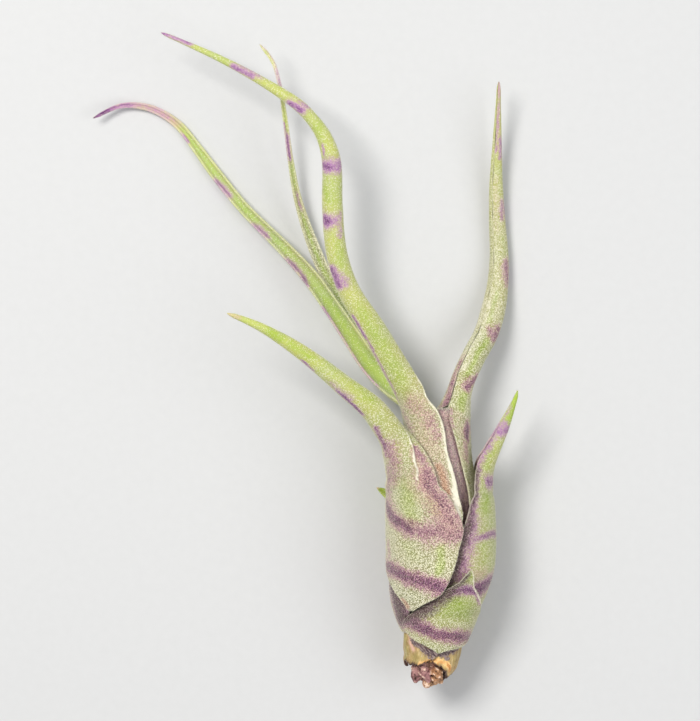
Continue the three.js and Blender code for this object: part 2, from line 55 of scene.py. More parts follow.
# A row is an arc of skin from a first to a last angle. A sheath row goes round the bulb's own line:
# height, first, last, radius. A throat row, where the leaf leaves the bulb, and a blade row have
# centres of their own: x, y, z, first, last, radius. Three radii are for first edge, middle and
# last edge.
LEAF_ROWS = {
    ("leaf_short_front", "sheath"): [
        (-80.1, 78, 84, 8.2), (-79.4, 66, 90, 8.4), (-78.6, 32, 100, 8.6), (-77.6, 10, 113, 8.9),
        (-76.5, -4, 132, 9.2), (-74.3, -12, 150, 10), (-72, -8, 152, 10.7, 10.9, 10.9),
        (-70, 8, 137, 11.4, 11.6, 11.5), (-68, 27, 120, 13, 12.6, 11.8), (-66, 34, 107, 13.9, 13.5, 12.2),
        (-64, 42, 96, 14.5, 14.3, 13), (-62.2, 50, 83, 14.9, 14.9, 14.5),
        (-60.6, 54, 73, 15.5, 15.6, 15.6), (-59, 56, 68, 16.1, 16.3, 16.2), (-57.2, 60, 63, 16.9)],
    ("leaf_short_back", "sheath"): [
        (-75, 152, 250, 8.8, 9.4, 9), (-71, 143, 285, 9.9, 12, 11.3), (-66, 133, 298, 12, 13.6, 13.4),
        (-60, 150, 300, 12.9, 14.8, 14.8), (-55, 168, 298, 13.5, 15.5, 15.4),
        (-50, 187, 288, 13.9, 15.6, 15.4), (-46, 200, 276, 15.3, 15.6, 15.4)],
    ("leaf_short_back", "throat"): [
        (32.5, -42.5, 9.5, 190, 286, 9.6), (28.4, -40, 7.9, 174, 300, 5.2)],
    ("leaf_short_back", "blade"): [
        (25.2, -38.4, 7.6, 150, 320, 2.6), (22.4, -36.8, 7.8, 140, 330, 1.3),
        (19.8, -35.3, 8.2, 130, 340, 0.5)],
    ("leaf_right", "sheath"): [
        (-74, -52, 52, 8.5), (-71, -66, 62, 8.9, 9.5, 8.9), (-67, -75, 76, 10.5, 12, 9.9),
        (-63, -80, 86, 12, 13.5, 11), (-57.8, -80, 84, 13.2, 14.8, 12.6),
        (-51, -80, 77, 13.7, 15.2, 13.2), (-44.5, -76, 62, 13.8, 15.2, 13.9),
        (-38.5, -68, 54, 13.8, 14.9, 14.2)],
    ("leaf_right", "throat"): [
        (38.6, -35.6, 15.4, -62, 54, 12.7, 13.1, 13.1), (41.2, -32.8, 16.4, -64, 60, 10.6, 10.7, 10.7),
        (44.4, -30.4, 17.4, -74, 71, 7.7), (47.2, -28.4, 18.3, -96, 90, 5.1)],
    ("leaf_right", "blade"): [
        (49.7, -26, 19, -122, 114, 3.3), (52, -22.4, 19.5, -140, 126, 2.4),
        (54.2, -18, 19.8, -140, 128, 1.9), (56.2, -13.6, 20, -140, 128, 1.2),
        (57.5, -10.4, 20.3, -130, 130, 0.75), (58.2, -8.4, 20.5, -130, 130, 0.5)],
    ("leaf_front_left", "sheath"): [
        (-68.4, 123, 131, 12.9, 12.7, 12.6), (-66.4, 108, 138, 14.1, 13.4, 13.2),
        (-64, 91, 149, 14.9, 14.1, 13.9), (-61.3, 84, 161, 15.3, 14.5, 14.4),
        (-57.5, 79, 175, 15.6, 15, 15), (-52.3, 74, 186, 15.5, 15.1, 15.1),
        (-47, 67, 190, 15.3, 15.1, 15.1), (-43.8, 68, 190, 15.3, 15.1, 15.1),
        (-40, 75, 190, 15.1, 15, 15), (-36.3, 83, 191, 14.8)],
    ("leaf_front_left", "throat"): [
        (36, -33.4, 15.6, 88, 193, 13.9, 14, 14), (33.2, -30.4, 17.2, 77, 195, 11.2, 11, 11),
        (30.2, -28, 19.2, 62, 197, 9.2, 8.5, 8.5), (27.5, -25.8, 21.2, 44, 198, 7.4, 6.2, 6.2),
        (25.5, -23.6, 22.7, 20, 200, 5.6, 4.8, 4.8)],
    ("leaf_front_left", "blade"): [
        (24.2, -21, 23.8, -16, 202, 4.1), (21.3, -16.8, 25.2, -38, 202, 3.7),
        (17.6, -12.4, 26, -42, 202, 3.35), (10.8, -7, 27, -42, 204, 2.8), (4.1, -1.5, 28, -42, 206, 2.35),
        (-2.9, 3.6, 29.3, -42, 208, 1.9), (-10.3, 8.1, 30.5, -42, 210, 1.3),
        (-15.8, 10.7, 31.3, -40, 210, 0.9), (-20.8, 12.6, 32, -40, 210, 0.5)],
    ("leaf_tall_front", "sheath"): [
        (-70, 86, 180, 8.1), (-66, 91, 185, 9.8, 9.5, 8.4), (-61, 91, 195, 12, 11.7, 10),
        (-55, 87, 198, 13.4, 12.9, 11.2), (-49, 80, 198, 13.6, 13.4, 12.1),
        (-44.3, 65, 198, 13.5, 13.5, 13.3), (-39.5, 65, 198, 13), (-34.5, 67, 198, 12),
        (-29.3, 70, 198, 10.5, 10.4, 10.5), (-24, 76, 200, 9.6), (-18.5, 80, 196, 9.3)],
    ("leaf_tall_front", "throat"): [
        (35.4, -13.8, 15.6, 84, 190, 8.7, 8.7, 8.8), (31.6, -10, 17.8, 74, 184, 6.1, 6.1, 6.2)],
    ("leaf_tall_front", "blade"): [
        (27.8, -6.4, 19.8, 34, 192, 4.3), (24.6, -1.6, 20.6, 4, 206, 3.75),
        (18.5, 8.7, 21.3, -20, 220, 3.45), (12.1, 19, 22, -28, 222, 3), (8.7, 29.6, 22.8, -30, 220, 2.85),
        (7.6, 42, 23.6, -30, 215, 2.8), (7.4, 53.6, 24, -30, 212, 2.6), (5.4, 60.6, 24, -30, 210, 2.1),
        (2, 65.7, 23.8, -30, 210, 1.75), (-2.5, 70.1, 23.4, -30, 210, 1.65),
        (-12, 76.3, 22, -30, 210, 1.25), (-22.7, 82.2, 20, -30, 210, 0.95), (-33, 87, 18, -30, 210, 0.65),
        (-39.4, 89.8, 17, -30, 210, 0.45)],
    ("leaf_tall_right", "sheath"): [
        (-70, -95, 30, 7, 8, 7.6), (-65, -100, 36, 8.8, 10, 9.4), (-58, -105, 40, 10.8, 11.8, 11),
        (-50, -108, 42, 11.4, 12.2, 11.6), (-43, -108, 42, 11.2, 11.8, 11.4),
        (-36.3, -105, 42, 10.5, 10.8, 10.6), (-31, -102, 45, 9.7, 9.8, 9.7), (-26, -100, 51, 9.2),
        (-21, -101, 60, 9.1), (-17.3, -106, 69, 9)],
    ("leaf_tall_right", "throat"): [
        (39, -15.2, 15.2, -140, 87, 6.9, 6.6, 6.6), (40.5, -13.6, 15.1, -228, 107, 3.6, 4.9, 5),
        (41.5, -11.3, 14.8, -238, 112, 3.2, 4.1, 4.1)],
    ("leaf_tall_right", "blade"): [
        (42.6, -8.4, 14.3, -233, 124, 3.4), (43.9, -4.6, 13.2, -228, 129, 3.3),
        (46.5, 0.8, 11.2, -223, 134, 3.3), (50, 7.2, 8, -223, 134, 3.35),
        (52.1, 13.6, 5.2, -223, 134, 3.35), (53.5, 21, 3.2, -224, 133, 2.95),
        (53.9, 29, 2.7, -228, 129, 2.6), (53.4, 38, 3, -230, 127, 2.3), (53, 49, 4.4, -232, 125, 1.85),
        (53.2, 60.8, 6.8, -230, 125, 1.25), (53.4, 70, 9.2, -216, 124, 0.75),
        (53.5, 76.8, 11, -210, 124, 0.5)],
    ("leaf_long_left", "sheath"): [
        (-68, 135, 232, 6.4, 6.3, 5.6), (-61, 140, 245, 9.2, 8.9, 6.8), (-53, 145, 250, 11, 10.5, 8.4),
        (-45, 148, 250, 11.5, 10.7, 8.4), (-37, 150, 250, 10.9, 9.9, 7.7), (-30, 150, 248, 9, 8.4, 6.9),
        (-23, 150, 246, 7.9, 7.6, 6.4), (-17, 150, 246, 7.7, 7.3, 6.3)],
    ("leaf_long_left", "throat"): [
        (32.5, -12.5, 13.6, 150, 254, 5.2, 5.2, 5.1), (28.6, -9.8, 12.2, 152, 285, 4.1)],
    ("leaf_long_left", "blade"): [
        (24.4, -7, 11.2, 155, 315, 3.5), (20.3, -3.6, 10.4, 160, 345, 3.1),
        (16.8, 0.4, 9.8, 165, 360, 2.8), (12.8, 6.4, 9, 168, 368, 2.6), (7.6, 14.2, 7.8, 168, 370, 2.4),
        (1.5, 22.8, 6.5, 168, 370, 2.3), (-6.2, 31.3, 5, 168, 370, 1.95),
        (-16.9, 42, 3.2, 168, 370, 1.65), (-25, 51.9, 1.9, 168, 370, 1.65),
        (-30.6, 59.5, 1.4, 168, 370, 1.4), (-36, 66, 1.3, 168, 370, 1.2), (-43.4, 70.2, 1.7, 168, 370, 1),
        (-51.4, 70.7, 2.8, 168, 370, 0.7), (-58.9, 67.2, 4.4, 168, 370, 0.45)],
    ("leaf_thin_back", "sheath"): [
        (-64, 218, 290, 8.2, 7.5, 7.2), (-56, 221, 298, 10.8, 9.5, 9.3), (-47, 222, 300, 11.2, 9.9, 9.7),
        (-38, 223, 300, 10.6, 9.2, 9), (-30, 224, 296, 9.4, 8.2, 8), (-23, 224, 286, 8.8, 7.8, 7.6),
        (-17, 222, 272, 8.6, 7.8, 7.5)],
    ("leaf_thin_back", "throat"): [
        (33.8, -12.8, 11, 208, 278, 6.2, 6, 5.8), (28.8, -8.8, 8.2, 192, 320, 3.8, 3.8, 3.6)],
    ("leaf_thin_back", "blade"): [
        (24.8, -4.4, 5.9, 180, 350, 3.1), (20.8, 1.2, 4.4, 175, 360, 2.9),
        (15.6, 8.2, 3.6, 172, 366, 2.6), (10.4, 16, 3.3, 170, 370, 2.2), (5.6, 24, 3.6, 168, 372, 1.8),
        (1.5, 33.6, 4.5, 168, 372, 1.55), (-2.1, 44.8, 6, 168, 372, 1.1), (-4.2, 56.4, 8, 168, 372, 0.8),
        (-5.7, 68, 10, 168, 372, 0.65), (-7.2, 76.7, 11.5, 168, 372, 0.55),
        (-9, 82.4, 12.2, 168, 372, 0.53), (-12.4, 86.9, 13, 168, 372, 0.5)],
    ("leaf_heart", "sheath"): [
        (-55, 20, 120, 9.4), (-47, 12, 128, 10.2), (-38, 10, 128, 9.4, 9.6, 9.6),
        (-31, 12, 126, 8.3, 8.4, 8.4), (-25, 16, 124, 7.8, 7.9, 7.9), (-20, 22, 118, 7.6, 7.7, 7.7),
        (-18, 34, 106, 7.5, 7.6, 7.6), (-16.1, 46, 92, 7.3), (-14.8, 52, 94, 7.1), (-13.9, 57, 93, 6.9),
        (-13.2, 62, 90, 6.7)],
    ("old_sheath_left", "sheath"): [
        (-84.9, 108, 206, 6.4, 6.9, 6.9), (-83, 98, 212, 7, 7.7, 7.5), (-81, 84, 216, 7.3, 7.9, 7.8),
        (-79.4, 82, 214, 7.2, 8.3, 8.2), (-77.6, 104, 208, 7.2, 8.5, 8.45),
        (-75.2, 134, 200, 7.4, 8.6, 8.7), (-73.9, 150, 194, 7.6, 8.5, 8.8)],
    ("old_sheath_right", "sheath"): [
        (-87.8, -106, 72, 4.5, 4.9, 4.6), (-86.6, -112, 80, 5.2, 5.6, 5.2),
        (-85.2, -118, 92, 5.9, 6.5, 5.9), (-83.4, -134, 102, 6.6, 7.1, 6.1),
        (-81, -140, 112, 6.9, 7.5, 5.9), (-78.5, -140, 120, 7, 7.5, 6), (-76, -138, 122, 7, 7.2, 6),
        (-73.5, -130, 118, 7, 7, 6.2)],
}
ROW_KINDS = ("sheath", "throat", "blade")


# The leaf surface

# The most of a thin roll's radius that its wall takes, the steps from row to row by which the curve
# is measured, how far columns crowd at the margins, the share of its radius that a drawn-out tip
# ends with and its power, the share by which the wall thins to the margins, over how many
# millimetres margins and ends are rounded, and the share of the wall that stays there.
TIP_SHARE = 0.62
ROW_STEPS = 48
CROWDING = 0.55
TIP_END = 0.35
TIP_POWER = 0.7
THINNING = 0.4
MARGIN_ROUND = 0.3
END_ROUND = 0.45
LEAST_WALL = 0.03
# Waves of the margins: how long and how high in millimetres, and the least radius they count for.
MARGIN_WAVES = ((5.0, 0.10), (1.6, 0.04))
WAVY_RADIUS = 1.2


def unit(vectors):
    """Each vector divided by its own length."""
    return vectors / np.linalg.norm(vectors, axis=-1, keepdims=True)


def girth(skin):
    """The width of a skin across each of its rows."""
    return np.linalg.norm(np.diff(skin, axis=1), axis=2).sum(axis=1)[:, None]


def read(pairs, at):
    """The line through pairs of place and value, read at the given places."""
    return np.interp(at, *zip(*pairs))


def quarter_round(distance, width):
    """Rises from 0 at distance 0 to 1 at the width, as a quarter circle."""
    return np.sqrt(1 - (1 - np.clip(distance / width, 0, 1)) ** 2)


def step(value, low, high):
    """0 below low, 1 above high and 3t^2 - 2t^3 between."""
    t = np.clip((value - low) / (high - low), 0, 1)
    return t * t * (3 - 2 * t)


def wander(length, period, rng):
    """A smooth random line over a length: one random value each period, blended by cosines."""
    knots = rng.normal(0, 1, int(length / period) + 3)

    def at(place):
        p = np.asarray(place) / period
        i = np.clip(np.floor(p).astype(int), 0, len(knots) - 2)
        t = 0.5 - 0.5 * np.cos(np.pi * np.clip(p - i, 0, 1))
        return knots[i] * (1 - t) + knots[i + 1] * t
    return at


def row_table(name):
    """The rows of a leaf as one table. Columns 0 to 2 are the centre, 3 to 5 the direction of
    growth, 6 and 7 the first and last angle, and 8 to 10 the radii. Growth goes straight up the
    bulb in the sheath, along the centres in the blade, and turns evenly in the throat."""
    sheaths, throats, blades = (LEAF_ROWS.get((name, kind), []) for kind in ROW_KINDS)
    rows = [(np.interp(height, BULB_HEIGHTS, BULB_MIDDLES), height, AXIS_HEIGHT, *arc)
            for height, *arc in sheaths] + throats + blades
    centres = np.array([row[:3] for row in rows], float)
    arcs = np.array([row[3:5] for row in rows], float)
    radii = np.array([(row[5:] * 3)[:3] for row in rows], float)
    ways = np.tile([0.0, 1.0, 0.0], (len(rows), 1))
    if blades:
        start = len(sheaths + throats)
        free = centres[start:]
        ways[start:] = unit(np.vstack([free[1:], free[-1:]]) - np.vstack([free[:1], free[:-1]]))
        turn = (np.arange(1, len(throats) + 1) / (len(throats) + 1))[:, None]
        ways[len(sheaths):start] = unit((1 - turn) * ways[0] + turn * ways[start])
    return np.hstack([centres, ways, arcs, radii])


def through_rows(table, at):
    """Catmull-Rom curve through the rows of a table, read at the row numbers in at."""
    last = len(table) - 1
    i = np.clip(np.floor(at).astype(int), 0, last - 1)
    t = (at - i)[:, None]
    a, b, c, d = (table[np.clip(i + k, 0, last)] for k in (-1, 0, 1, 2))
    bend = 2 * a - 5 * b + 4 * c - d
    twist = 3 * b - a - 3 * c + d
    return 0.5 * (2 * b + (c - a) * t + bend * t ** 2 + twist * t ** 3)


def leaf_points(table, across, share, thickness):
    """Points of a leaf, in the plane across the growth of each row. The radius follows a parabola
    through the row's three radii, less a share of the thickness, and the angle runs evenly from
    the first edge to the last."""
    way = unit(table[:, 3:6])
    up = unit(np.array([0.0, 0.0, 1.0]) - way * way[:, 2:3])
    right = np.cross(way, up)
    side = 2 * across - 1
    start, end, first, middle, last = (table[:, k:k + 1] for k in range(6, 11))
    radius = middle + side * (last - first) / 2 + side ** 2 * ((first + last) / 2 - middle)
    angle = np.radians(start + (end - start) * across)
    reach = radius - share * np.minimum(thickness, TIP_SHARE * radius)
    return (table[:, None, 0:3] + right[:, None, :] * (reach * np.cos(angle))[..., None]
            + up[:, None, :] * (reach * np.sin(angle))[..., None])


def leaf_grid(knots, spacing, columns, thickness, tip, seed):
    """A leaf over its row table, on a grid of rows evenly spaced along it and columns across.

    Returns the outer and inner faces, the place along the leaf in millimetres and the place across
    from 0 to 1. Over the last tip millimetres the radius shrinks to a point."""
    fine = np.linspace(0, len(knots) - 1, ROW_STEPS * (len(knots) - 1) + 1)
    spine = leaf_points(through_rows(knots, fine), np.full((1, 1), 0.5), 0.0, thickness)[:, 0]
    walked = np.concatenate([[0], np.cumsum(np.linalg.norm(np.diff(spine, axis=0), axis=1))])
    total = walked[-1]
    along = np.linspace(0, total, int(total / spacing) + 1)
    table = through_rows(knots, np.interp(along, walked, fine))
    if tip:
        left = np.clip((total - along) / tip, 0, 1)
        table[:, 8:11] *= (TIP_END + (1 - TIP_END) * left ** TIP_POWER)[:, None]

    t = np.linspace(0, 1, columns)
    across = (t - CROWDING * np.sin(2 * np.pi * t) / (2 * np.pi))[None, :]
    arc = np.radians(np.abs(table[:, 7:8] - table[:, 6:7])) * table[:, 9:10]
    rng = np.random.default_rng(seed)
    for k, way in ((6, 1), (7, -1)):
        wave = sum(wander(total, period, rng)(along) * height for period, height in MARGIN_WAVES)
        table[:, k] += way * np.degrees(wave / np.maximum(table[:, 9], WAVY_RADIUS))
    wall = thickness * (1 - THINNING * (2 * across - 1) ** 2)
    round_side = quarter_round(np.minimum(across, 1 - across) * arc, MARGIN_ROUND)
    round_end = quarter_round(np.minimum(along, total - along), END_ROUND)[:, None]
    half = 0.5 * np.clip(round_side * round_end, LEAST_WALL, 1)
    outer = leaf_points(table, across, 0.5 - half, wall)
    inner = leaf_points(table, across, 0.5 + half, wall)
    return outer, inner, *np.broadcast_arrays(along[:, None], across)


# The coat of a leaf: where each tint lies

# Soft brush strokes on the skin, by leaf and tint: strength, half width in millimetres, and places
# along the stroke, each by the way from the leaf's base in millimetres and the share across.
LEAF_STROKES = {
    ("leaf_tall_front", "purple"): [
        (0.62, 0.7, (193.1, 0.5), (188.9, 0.35), (184.4, 0.36)),
        (0.66, 0.8, (170.3, 0.6), (167.3, 0.56), (164.5, 0.54)), (0.45, 1, (168.2, 0.31), (162.9, 0.3)),
        (0.68, 1, (151.6, 0.66), (149.4, 0.65), (147.8, 0.6)), (0.45, 1.1, (149.4, 0.4), (147.4, 0.29)),
        (0.55, 0.33, (136.3, 0.65), (132.7, 0.68)), (0.85, 1.4, (130, 0.72), (129.6, 0.58)),
        (0.6, 1.5, (129.4, 0.5), (129.7, 0.27)), (0.76, 1.4, (115.3, 0.72), (114.7, 0.62)),
        (0.45, 1.2, (115, 0.56), (114.7, 0.39)), (0.42, 0.83, (116.5, 0.3), (110.5, 0.34)),
        (0.78, 1.15, (101.5, 0.7), (99.7, 0.67), (97.8, 0.66)), (0.46, 1.2, (99.3, 0.57), (97.5, 0.49)),
        (0.75, 0.5, (88.3, 0.69), (84.7, 0.69), (82, 0.7)),
        (0.6, 0.36, (82, 0.68), (75.4, 0.7), (66.1, 0.76), (61, 0.89)),
        (0.42, 1.5, (54.9, 0.19), (50.7, 0.12)), (0.28, 1.9, (60, 0.45), (55.6, 0.25)),
        (0.38, 1.2, (58, 0.8), (53, 0.54))],
    ("leaf_tall_front", "warm"): [
        (0.36, 2.4, (59, 0.34), (56, 0.33), (52.5, 0.3)),
        (0.55, 3.2, (59.2, 0.31), (49.8, 0.26), (42.6, 0.2)), (0.62, 1.9, (45.6, 0.3), (39.9, 0.18)),
        (1.3, 1.05, (42.5, 0.16), (39, 0.13), (35, 0.12)),
        (0.7, 1.2, (39, 0.12), (34.4, 0.09), (31.5, 0.08))],
    ("leaf_tall_front", "pale"): [
        (0.6, 0.2, (66, 0.02), (58, 0.015), (54, 0.01)),
        (0.76, 0.44, (54, 0.01), (48.3, 0.01), (43.5, 0.015)),
        (0.9, 0.5, (43.5, 0.02), (37.2, 0.025), (31.5, 0.03)),
        (0.8, 0.5, (36, 0.05), (31, 0.05), (28.5, 0.045))],
    ("leaf_tall_front", "vivid"): [
        (0.55, 0.96, (123.4, 0.65), (120.4, 0.53)), (0.55, 1.1, (108.1, 0.44), (103.3, 0.42)),
        (0.45, 1.1, (140.8, 0.6), (136.9, 0.6)), (0.6, 1.4, (89.2, 0.46), (82.3, 0.49), (76, 0.47)),
        (0.6, 2, (78, 0.45), (70, 0.44), (63, 0.48))],
    ("leaf_long_left", "purple"): [
        (0.85, 3, (185, 0.5), (181.5, 0.5)), (0.6, 3, (181, 0.5), (175, 0.5)),
        (0.4, 3.2, (174, 0.5), (164, 0.5)), (0.6, 0.45, (156.2, 0.02), (153.2, 0.02)),
        (0.66, 1.2, (139.2, 0.04), (136.8, 0.14), (134.9, 0.2)),
        (0.42, 1.7, (137.5, 0.22), (135.5, 0.32)),
        (0.66, 1.2, (122.8, 0.04), (120.8, 0.12), (119.2, 0.16)), (0.42, 1.6, (121.5, 0.18), (120, 0.26)),
        (0.62, 1.2, (109.4, 0.04), (105.8, 0.12), (102.4, 0.12)), (0.35, 1.6, (107, 0.18), (104, 0.22)),
        (0.75, 0.5, (103.4, 0.04), (100.3, 0.03)), (0.6, 0.4, (92.8, 0.02), (89.5, 0.02)),
        (0.45, 0.35, (89.5, 0.01), (79, 0.01), (66.1, 0.01))],
    ("leaf_long_left", "warm"): [
        (0.62, 3, (178, 0.5), (171, 0.5), (161, 0.5))],
    ("leaf_long_left", "vivid"): [
        (0.5, 1.3, (94, 0.5), (86, 0.5), (76, 0.5), (66, 0.5)), (0.4, 1, (131, 0.5), (126.5, 0.5))],
    ("leaf_thin_back", "purple"): [
        (0.4, 0.4, (165.3, 1), (162.6, 1), (157.5, 1)), (0.7, 1.2, (156.3, 0.7), (153.5, 0.7)),
        (0.68, 1.3, (138.2, 0.35), (135.5, 0.35), (133.1, 0.35)),
        (0.5, 0.4, (142.1, 0.05), (139.4, 0.05)), (0.5, 1.1, (122, 0.6), (118.7, 0.6))],
    ("leaf_thin_back", "warm"): [
        (0.25, 1.6, (165, 0.5), (160.5, 0.5), (153.9, 0.5), (147.6, 0.5))],
    ("leaf_thin_back", "pale"): [
        (0.35, 1.4, (165, 0.5), (158, 0.5), (150, 0.5))],
    ("leaf_thin_back", "vivid"): [
        (0.45, 0.7, (115, 0.5), (105.5, 0.5), (98, 0.5))],
    ("leaf_tall_right", "purple"): [
        (0.5, 0.45, (140.3, 0.8), (134.4, 0.8)), (0.62, 0.55, (122, 0.79), (117, 0.79)),
        (0.68, 0.95, (104.5, 0.76), (101, 0.74), (98.6, 0.72)), (0.45, 0.9, (103, 0.82), (99.5, 0.8)),
        (0.68, 1.35, (83.2, 0.73), (80.8, 0.75)), (0.5, 0.95, (82, 0.85), (80.8, 0.82)),
        (0.7, 0.85, (68.6, 0.69), (66.4, 0.75), (64.2, 0.82)), (0.5, 0.8, (66.2, 0.83), (64.4, 0.87)),
        (0.95, 1, (53.1, 0.761), (50.1, 0.82)), (0.45, 0.83, (48, 0.88), (43.8, 0.9)),
        (0.68, 1.2, (65, 0.04), (61.5, 0.04), (57.5, 0.03)),
        (0.5, 0.9, (71.5, 0.03), (68, 0.04), (65, 0.05)), (0.6, 0.9, (138.6, 0.68), (134.8, 0.62)),
        (0.6, 1.1, (137.4, 0.55), (135.6, 0.46)), (0.66, 0.9, (121, 0.67), (117.6, 0.61)),
        (0.62, 1.1, (119.8, 0.54), (118.2, 0.44)), (0.72, 1.1, (103.4, 0.62), (99.2, 0.57)),
        (0.62, 1.2, (101.8, 0.5), (100.4, 0.4)), (0.7, 1.2, (82, 0.62), (81.2, 0.42)),
        (0.6, 1.2, (67.5, 0.6), (67.5, 0.42)), (0.6, 1.3, (52.5, 0.66), (53.5, 0.45)),
        (0.45, 0.39, (146.5, 0.926), (141, 0.941), (136.3, 0.964)),
        (0.35, 0.55, (155.5, 0.871), (151, 0.887), (147.1, 0.866)),
        (0.5, 1.3, (55, 0.12), (51.6, 0.2), (45.9, 0.28), (37.8, 0.4)),
        (0.42, 0.6, (57.5, 0.985), (53.4, 0.98))],
    ("leaf_tall_right", "pale"): [
        (0.2, 2.4, (130, 0.88), (108, 0.89), (86, 0.9)), (0.3, 1, (93, 0.96), (81, 0.97), (69, 0.96)),
        (0.3, 0.9, (93, 0.05), (81, 0.05), (72, 0.05))],
    ("leaf_tall_right", "warm"): [
        (0.75, 0.66, (155.5, 0.871), (152.5, 0.857)), (0.4, 0.83, (148.3, 0.91), (136.9, 0.883)),
        (0.3, 0.96, (128.4, 0.891), (114.4, 0.921)), (0.35, 1.65, (56.4, 0.9), (49.5, 0.9), (43.8, 0.94))],
    ("leaf_tall_right", "vivid"): [
        (1.05, 0.95, (62, 0.85), (60, 0.87), (58, 0.87)), (0.7, 0.5, (95, 0.88), (84.3, 0.9)),
        (0.95, 0.55, (79.5, 0.83), (73.5, 0.845), (66.8, 0.87)), (0.45, 0.6, (112, 0.8), (107.3, 0.78)),
        (0.45, 0.6, (131.5, 0.8), (124.5, 0.8))],
    ("leaf_front_left", "warm"): [
        (0.55, 0.8, (106.5, 0.53), (103.8, 0.51)), (0.75, 2.6, (38, 0.15), (31, 0.15), (24, 0.12)),
        (0.3, 2.6, (23.4, 0.3), (22.4, 0.2), (22, 0.08)),
        (0.75, 1.1, (43.2, 0.17), (39, 0.18), (34.8, 0.18)),
        (0.42, 2.2, (37.5, 0.31), (31.5, 0.25), (27.3, 0.19)), (0.35, 2.2, (44.7, 0.47), (37.5, 0.46)),
        (1.9, 0.62, (3, 0.86), (1.6, 0.8))],
    ("leaf_front_left", "purple"): [
        (0.7, 0.44, (82.5, 0.75), (78.9, 0.79)), (0.8, 0.66, (69.9, 0.76), (65.7, 0.78), (60.6, 0.81)),
        (0.35, 1.1, (72.6, 0.73), (66, 0.69)), (0.75, 0.83, (54.3, 0.74), (50.1, 0.75), (45.6, 0.73)),
        (0.48, 2.2, (47.7, 0.65), (42.9, 0.56), (38.1, 0.6)), (0.5, 1.8, (40.5, 0.69), (32.4, 0.73)),
        (0.36, 1.8, (41, 0.62), (36.5, 0.6)), (0.6, 0.9, (43.4, 0.12), (40, 0.1), (37, 0.1)),
        (0.78, 1.5, (38, 0.12), (34, 0.12), (30.5, 0.12)), (0.66, 2.5, (36, 0.1), (31, 0.11), (26, 0.11)),
        (0.5, 2.6, (28, 0.16), (24, 0.2), (22, 0.28)), (1, 1.6, (29.7, 0.83), (26.9, 0.7), (24.8, 0.58)),
        (0.95, 1.4, (24.8, 0.58), (23.4, 0.47)), (0.42, 2.2, (33, 0.85), (30, 0.76), (28, 0.68)),
        (0.74, 1.7, (23.4, 0.49), (23, 0.37), (22.4, 0.27)),
        (0.62, 2.5, (23.2, 0.25), (22.4, 0.14), (22, 0.05)), (0.5, 1.65, (27.3, 0.04), (24.6, 0.04)),
        (0.45, 1.1, (18.6, 0.8), (15.6, 0.79)), (1, 1.75, (12.8, 0.95), (11.6, 0.73), (10.5, 0.58)),
        (0.88, 1.65, (10.5, 0.58), (9, 0.35), (7.2, 0.05))],
    # A pale line along the crest of the fold: painted highlight.
    ("leaf_front_left", "pale"): [
        (0.8, 0.2, (50, 0.25), (47, 0.205), (44.4, 0.17), (40.8, 0.205), (37.2, 0.23))],
    ("leaf_front_left", "vivid"): [
        (0.75, 1.16, (94.5, 0.53), (91.2, 0.55)), (0.6, 0.96, (88.2, 0.53), (81.3, 0.49)),
        (0.55, 1.65, (66.3, 0.35), (61.5, 0.41)), (0.7, 2.3, (34.8, 0.4), (30, 0.46), (27.2, 0.44)),
        (0.6, 1.24, (31.5, 0.2), (28.2, 0.21)), (0.95, 0.9, (18.6, 0.17), (15.6, 0.15), (11.7, 0.15)),
        (0.4, 1.9, (18.9, 0.53), (16.6, 0.44))],
    ("leaf_right", "purple"): [
        (0.68, 1.3, (58.1, 0.9), (59, 0.72), (59.4, 0.5), (58.8, 0.3)),
        (0.5, 0.8, (60.2, 0.92), (60.8, 0.8)), (0.74, 1.35, (44.1, 0.76), (44.4, 0.6)),
        (0.55, 1.3, (44.6, 0.6), (44.8, 0.45), (44, 0.28)), (0.4, 1.2, (42.6, 0.73), (42.2, 0.62)),
        (0.74, 0.85, (27.9, 0.79), (28.3, 0.7), (28.6, 0.55)), (0.55, 0.9, (27.2, 0.88), (27.8, 0.8)),
        (0.55, 1.3, (28.6, 0.55), (28.4, 0.4), (27.6, 0.25)),
        (0.5, 1.5, (29, 0.9), (26.5, 0.88), (24, 0.9)),
        (0.95, 1.85, (11.9, 0.8), (12.9, 0.69), (14.8, 0.57), (16.3, 0.48)),
        (0.7, 1.7, (16.3, 0.48), (16.9, 0.35), (16.2, 0.18)),
        (0.55, 1.1, (59.5, 1), (51.5, 0.98), (46.4, 0.98), (40.9, 1)),
        (0.5, 1.1, (59.5, 0), (51.5, 0), (46.4, 0)), (0.65, 1.3, (39.4, 1), (34, 0.97), (29.2, 0.92)),
        (0.42, 0.83, (65.3, 1), (61.4, 1), (56.6, 1)),
        # This purple stroke runs along the shade strokes below and deepens them: painted shade.
        (0.6, 2.4, (31, 0.96), (26, 0.91), (21, 0.9), (17, 0.92))],
    ("leaf_right", "painted_shade"): [
        (0.75, 1, (46, 1), (38, 1), (32, 0.995)),
        (0.85, 1.5, (32, 0.99), (28.6, 0.965), (25, 0.945), (21, 0.94), (16.5, 0.96))],
    ("leaf_right", "warm"): [
        (0.55, 1.38, (17.2, 0.79), (17.8, 0.7)), (0.35, 1.38, (22.9, 0.82), (20.2, 0.82))],
    ("leaf_right", "vivid"): [
        (1.5, 3, (70.4, 0.8), (66, 0.78), (63.4, 0.76)), (0.9, 0.5, (59.6, 0.99), (56, 0.96), (53, 0.93)),
        (0.75, 0.96, (52.4, 0.89), (47.9, 0.85)), (0.9, 1.38, (38.8, 0.8), (35.8, 0.82)),
        (0.5, 1.1, (25.6, 0.75), (21.4, 0.71))],
    ("leaf_short_front", "purple"): [
        (0.88, 1.7, (11.9, 1), (10.8, 0.86), (9.4, 0.77), (8.1, 0.69)),
        (0.85, 1.55, (8.1, 0.69), (7.2, 0.6), (6.8, 0.5), (6.6, 0.38), (6, 0.1)),
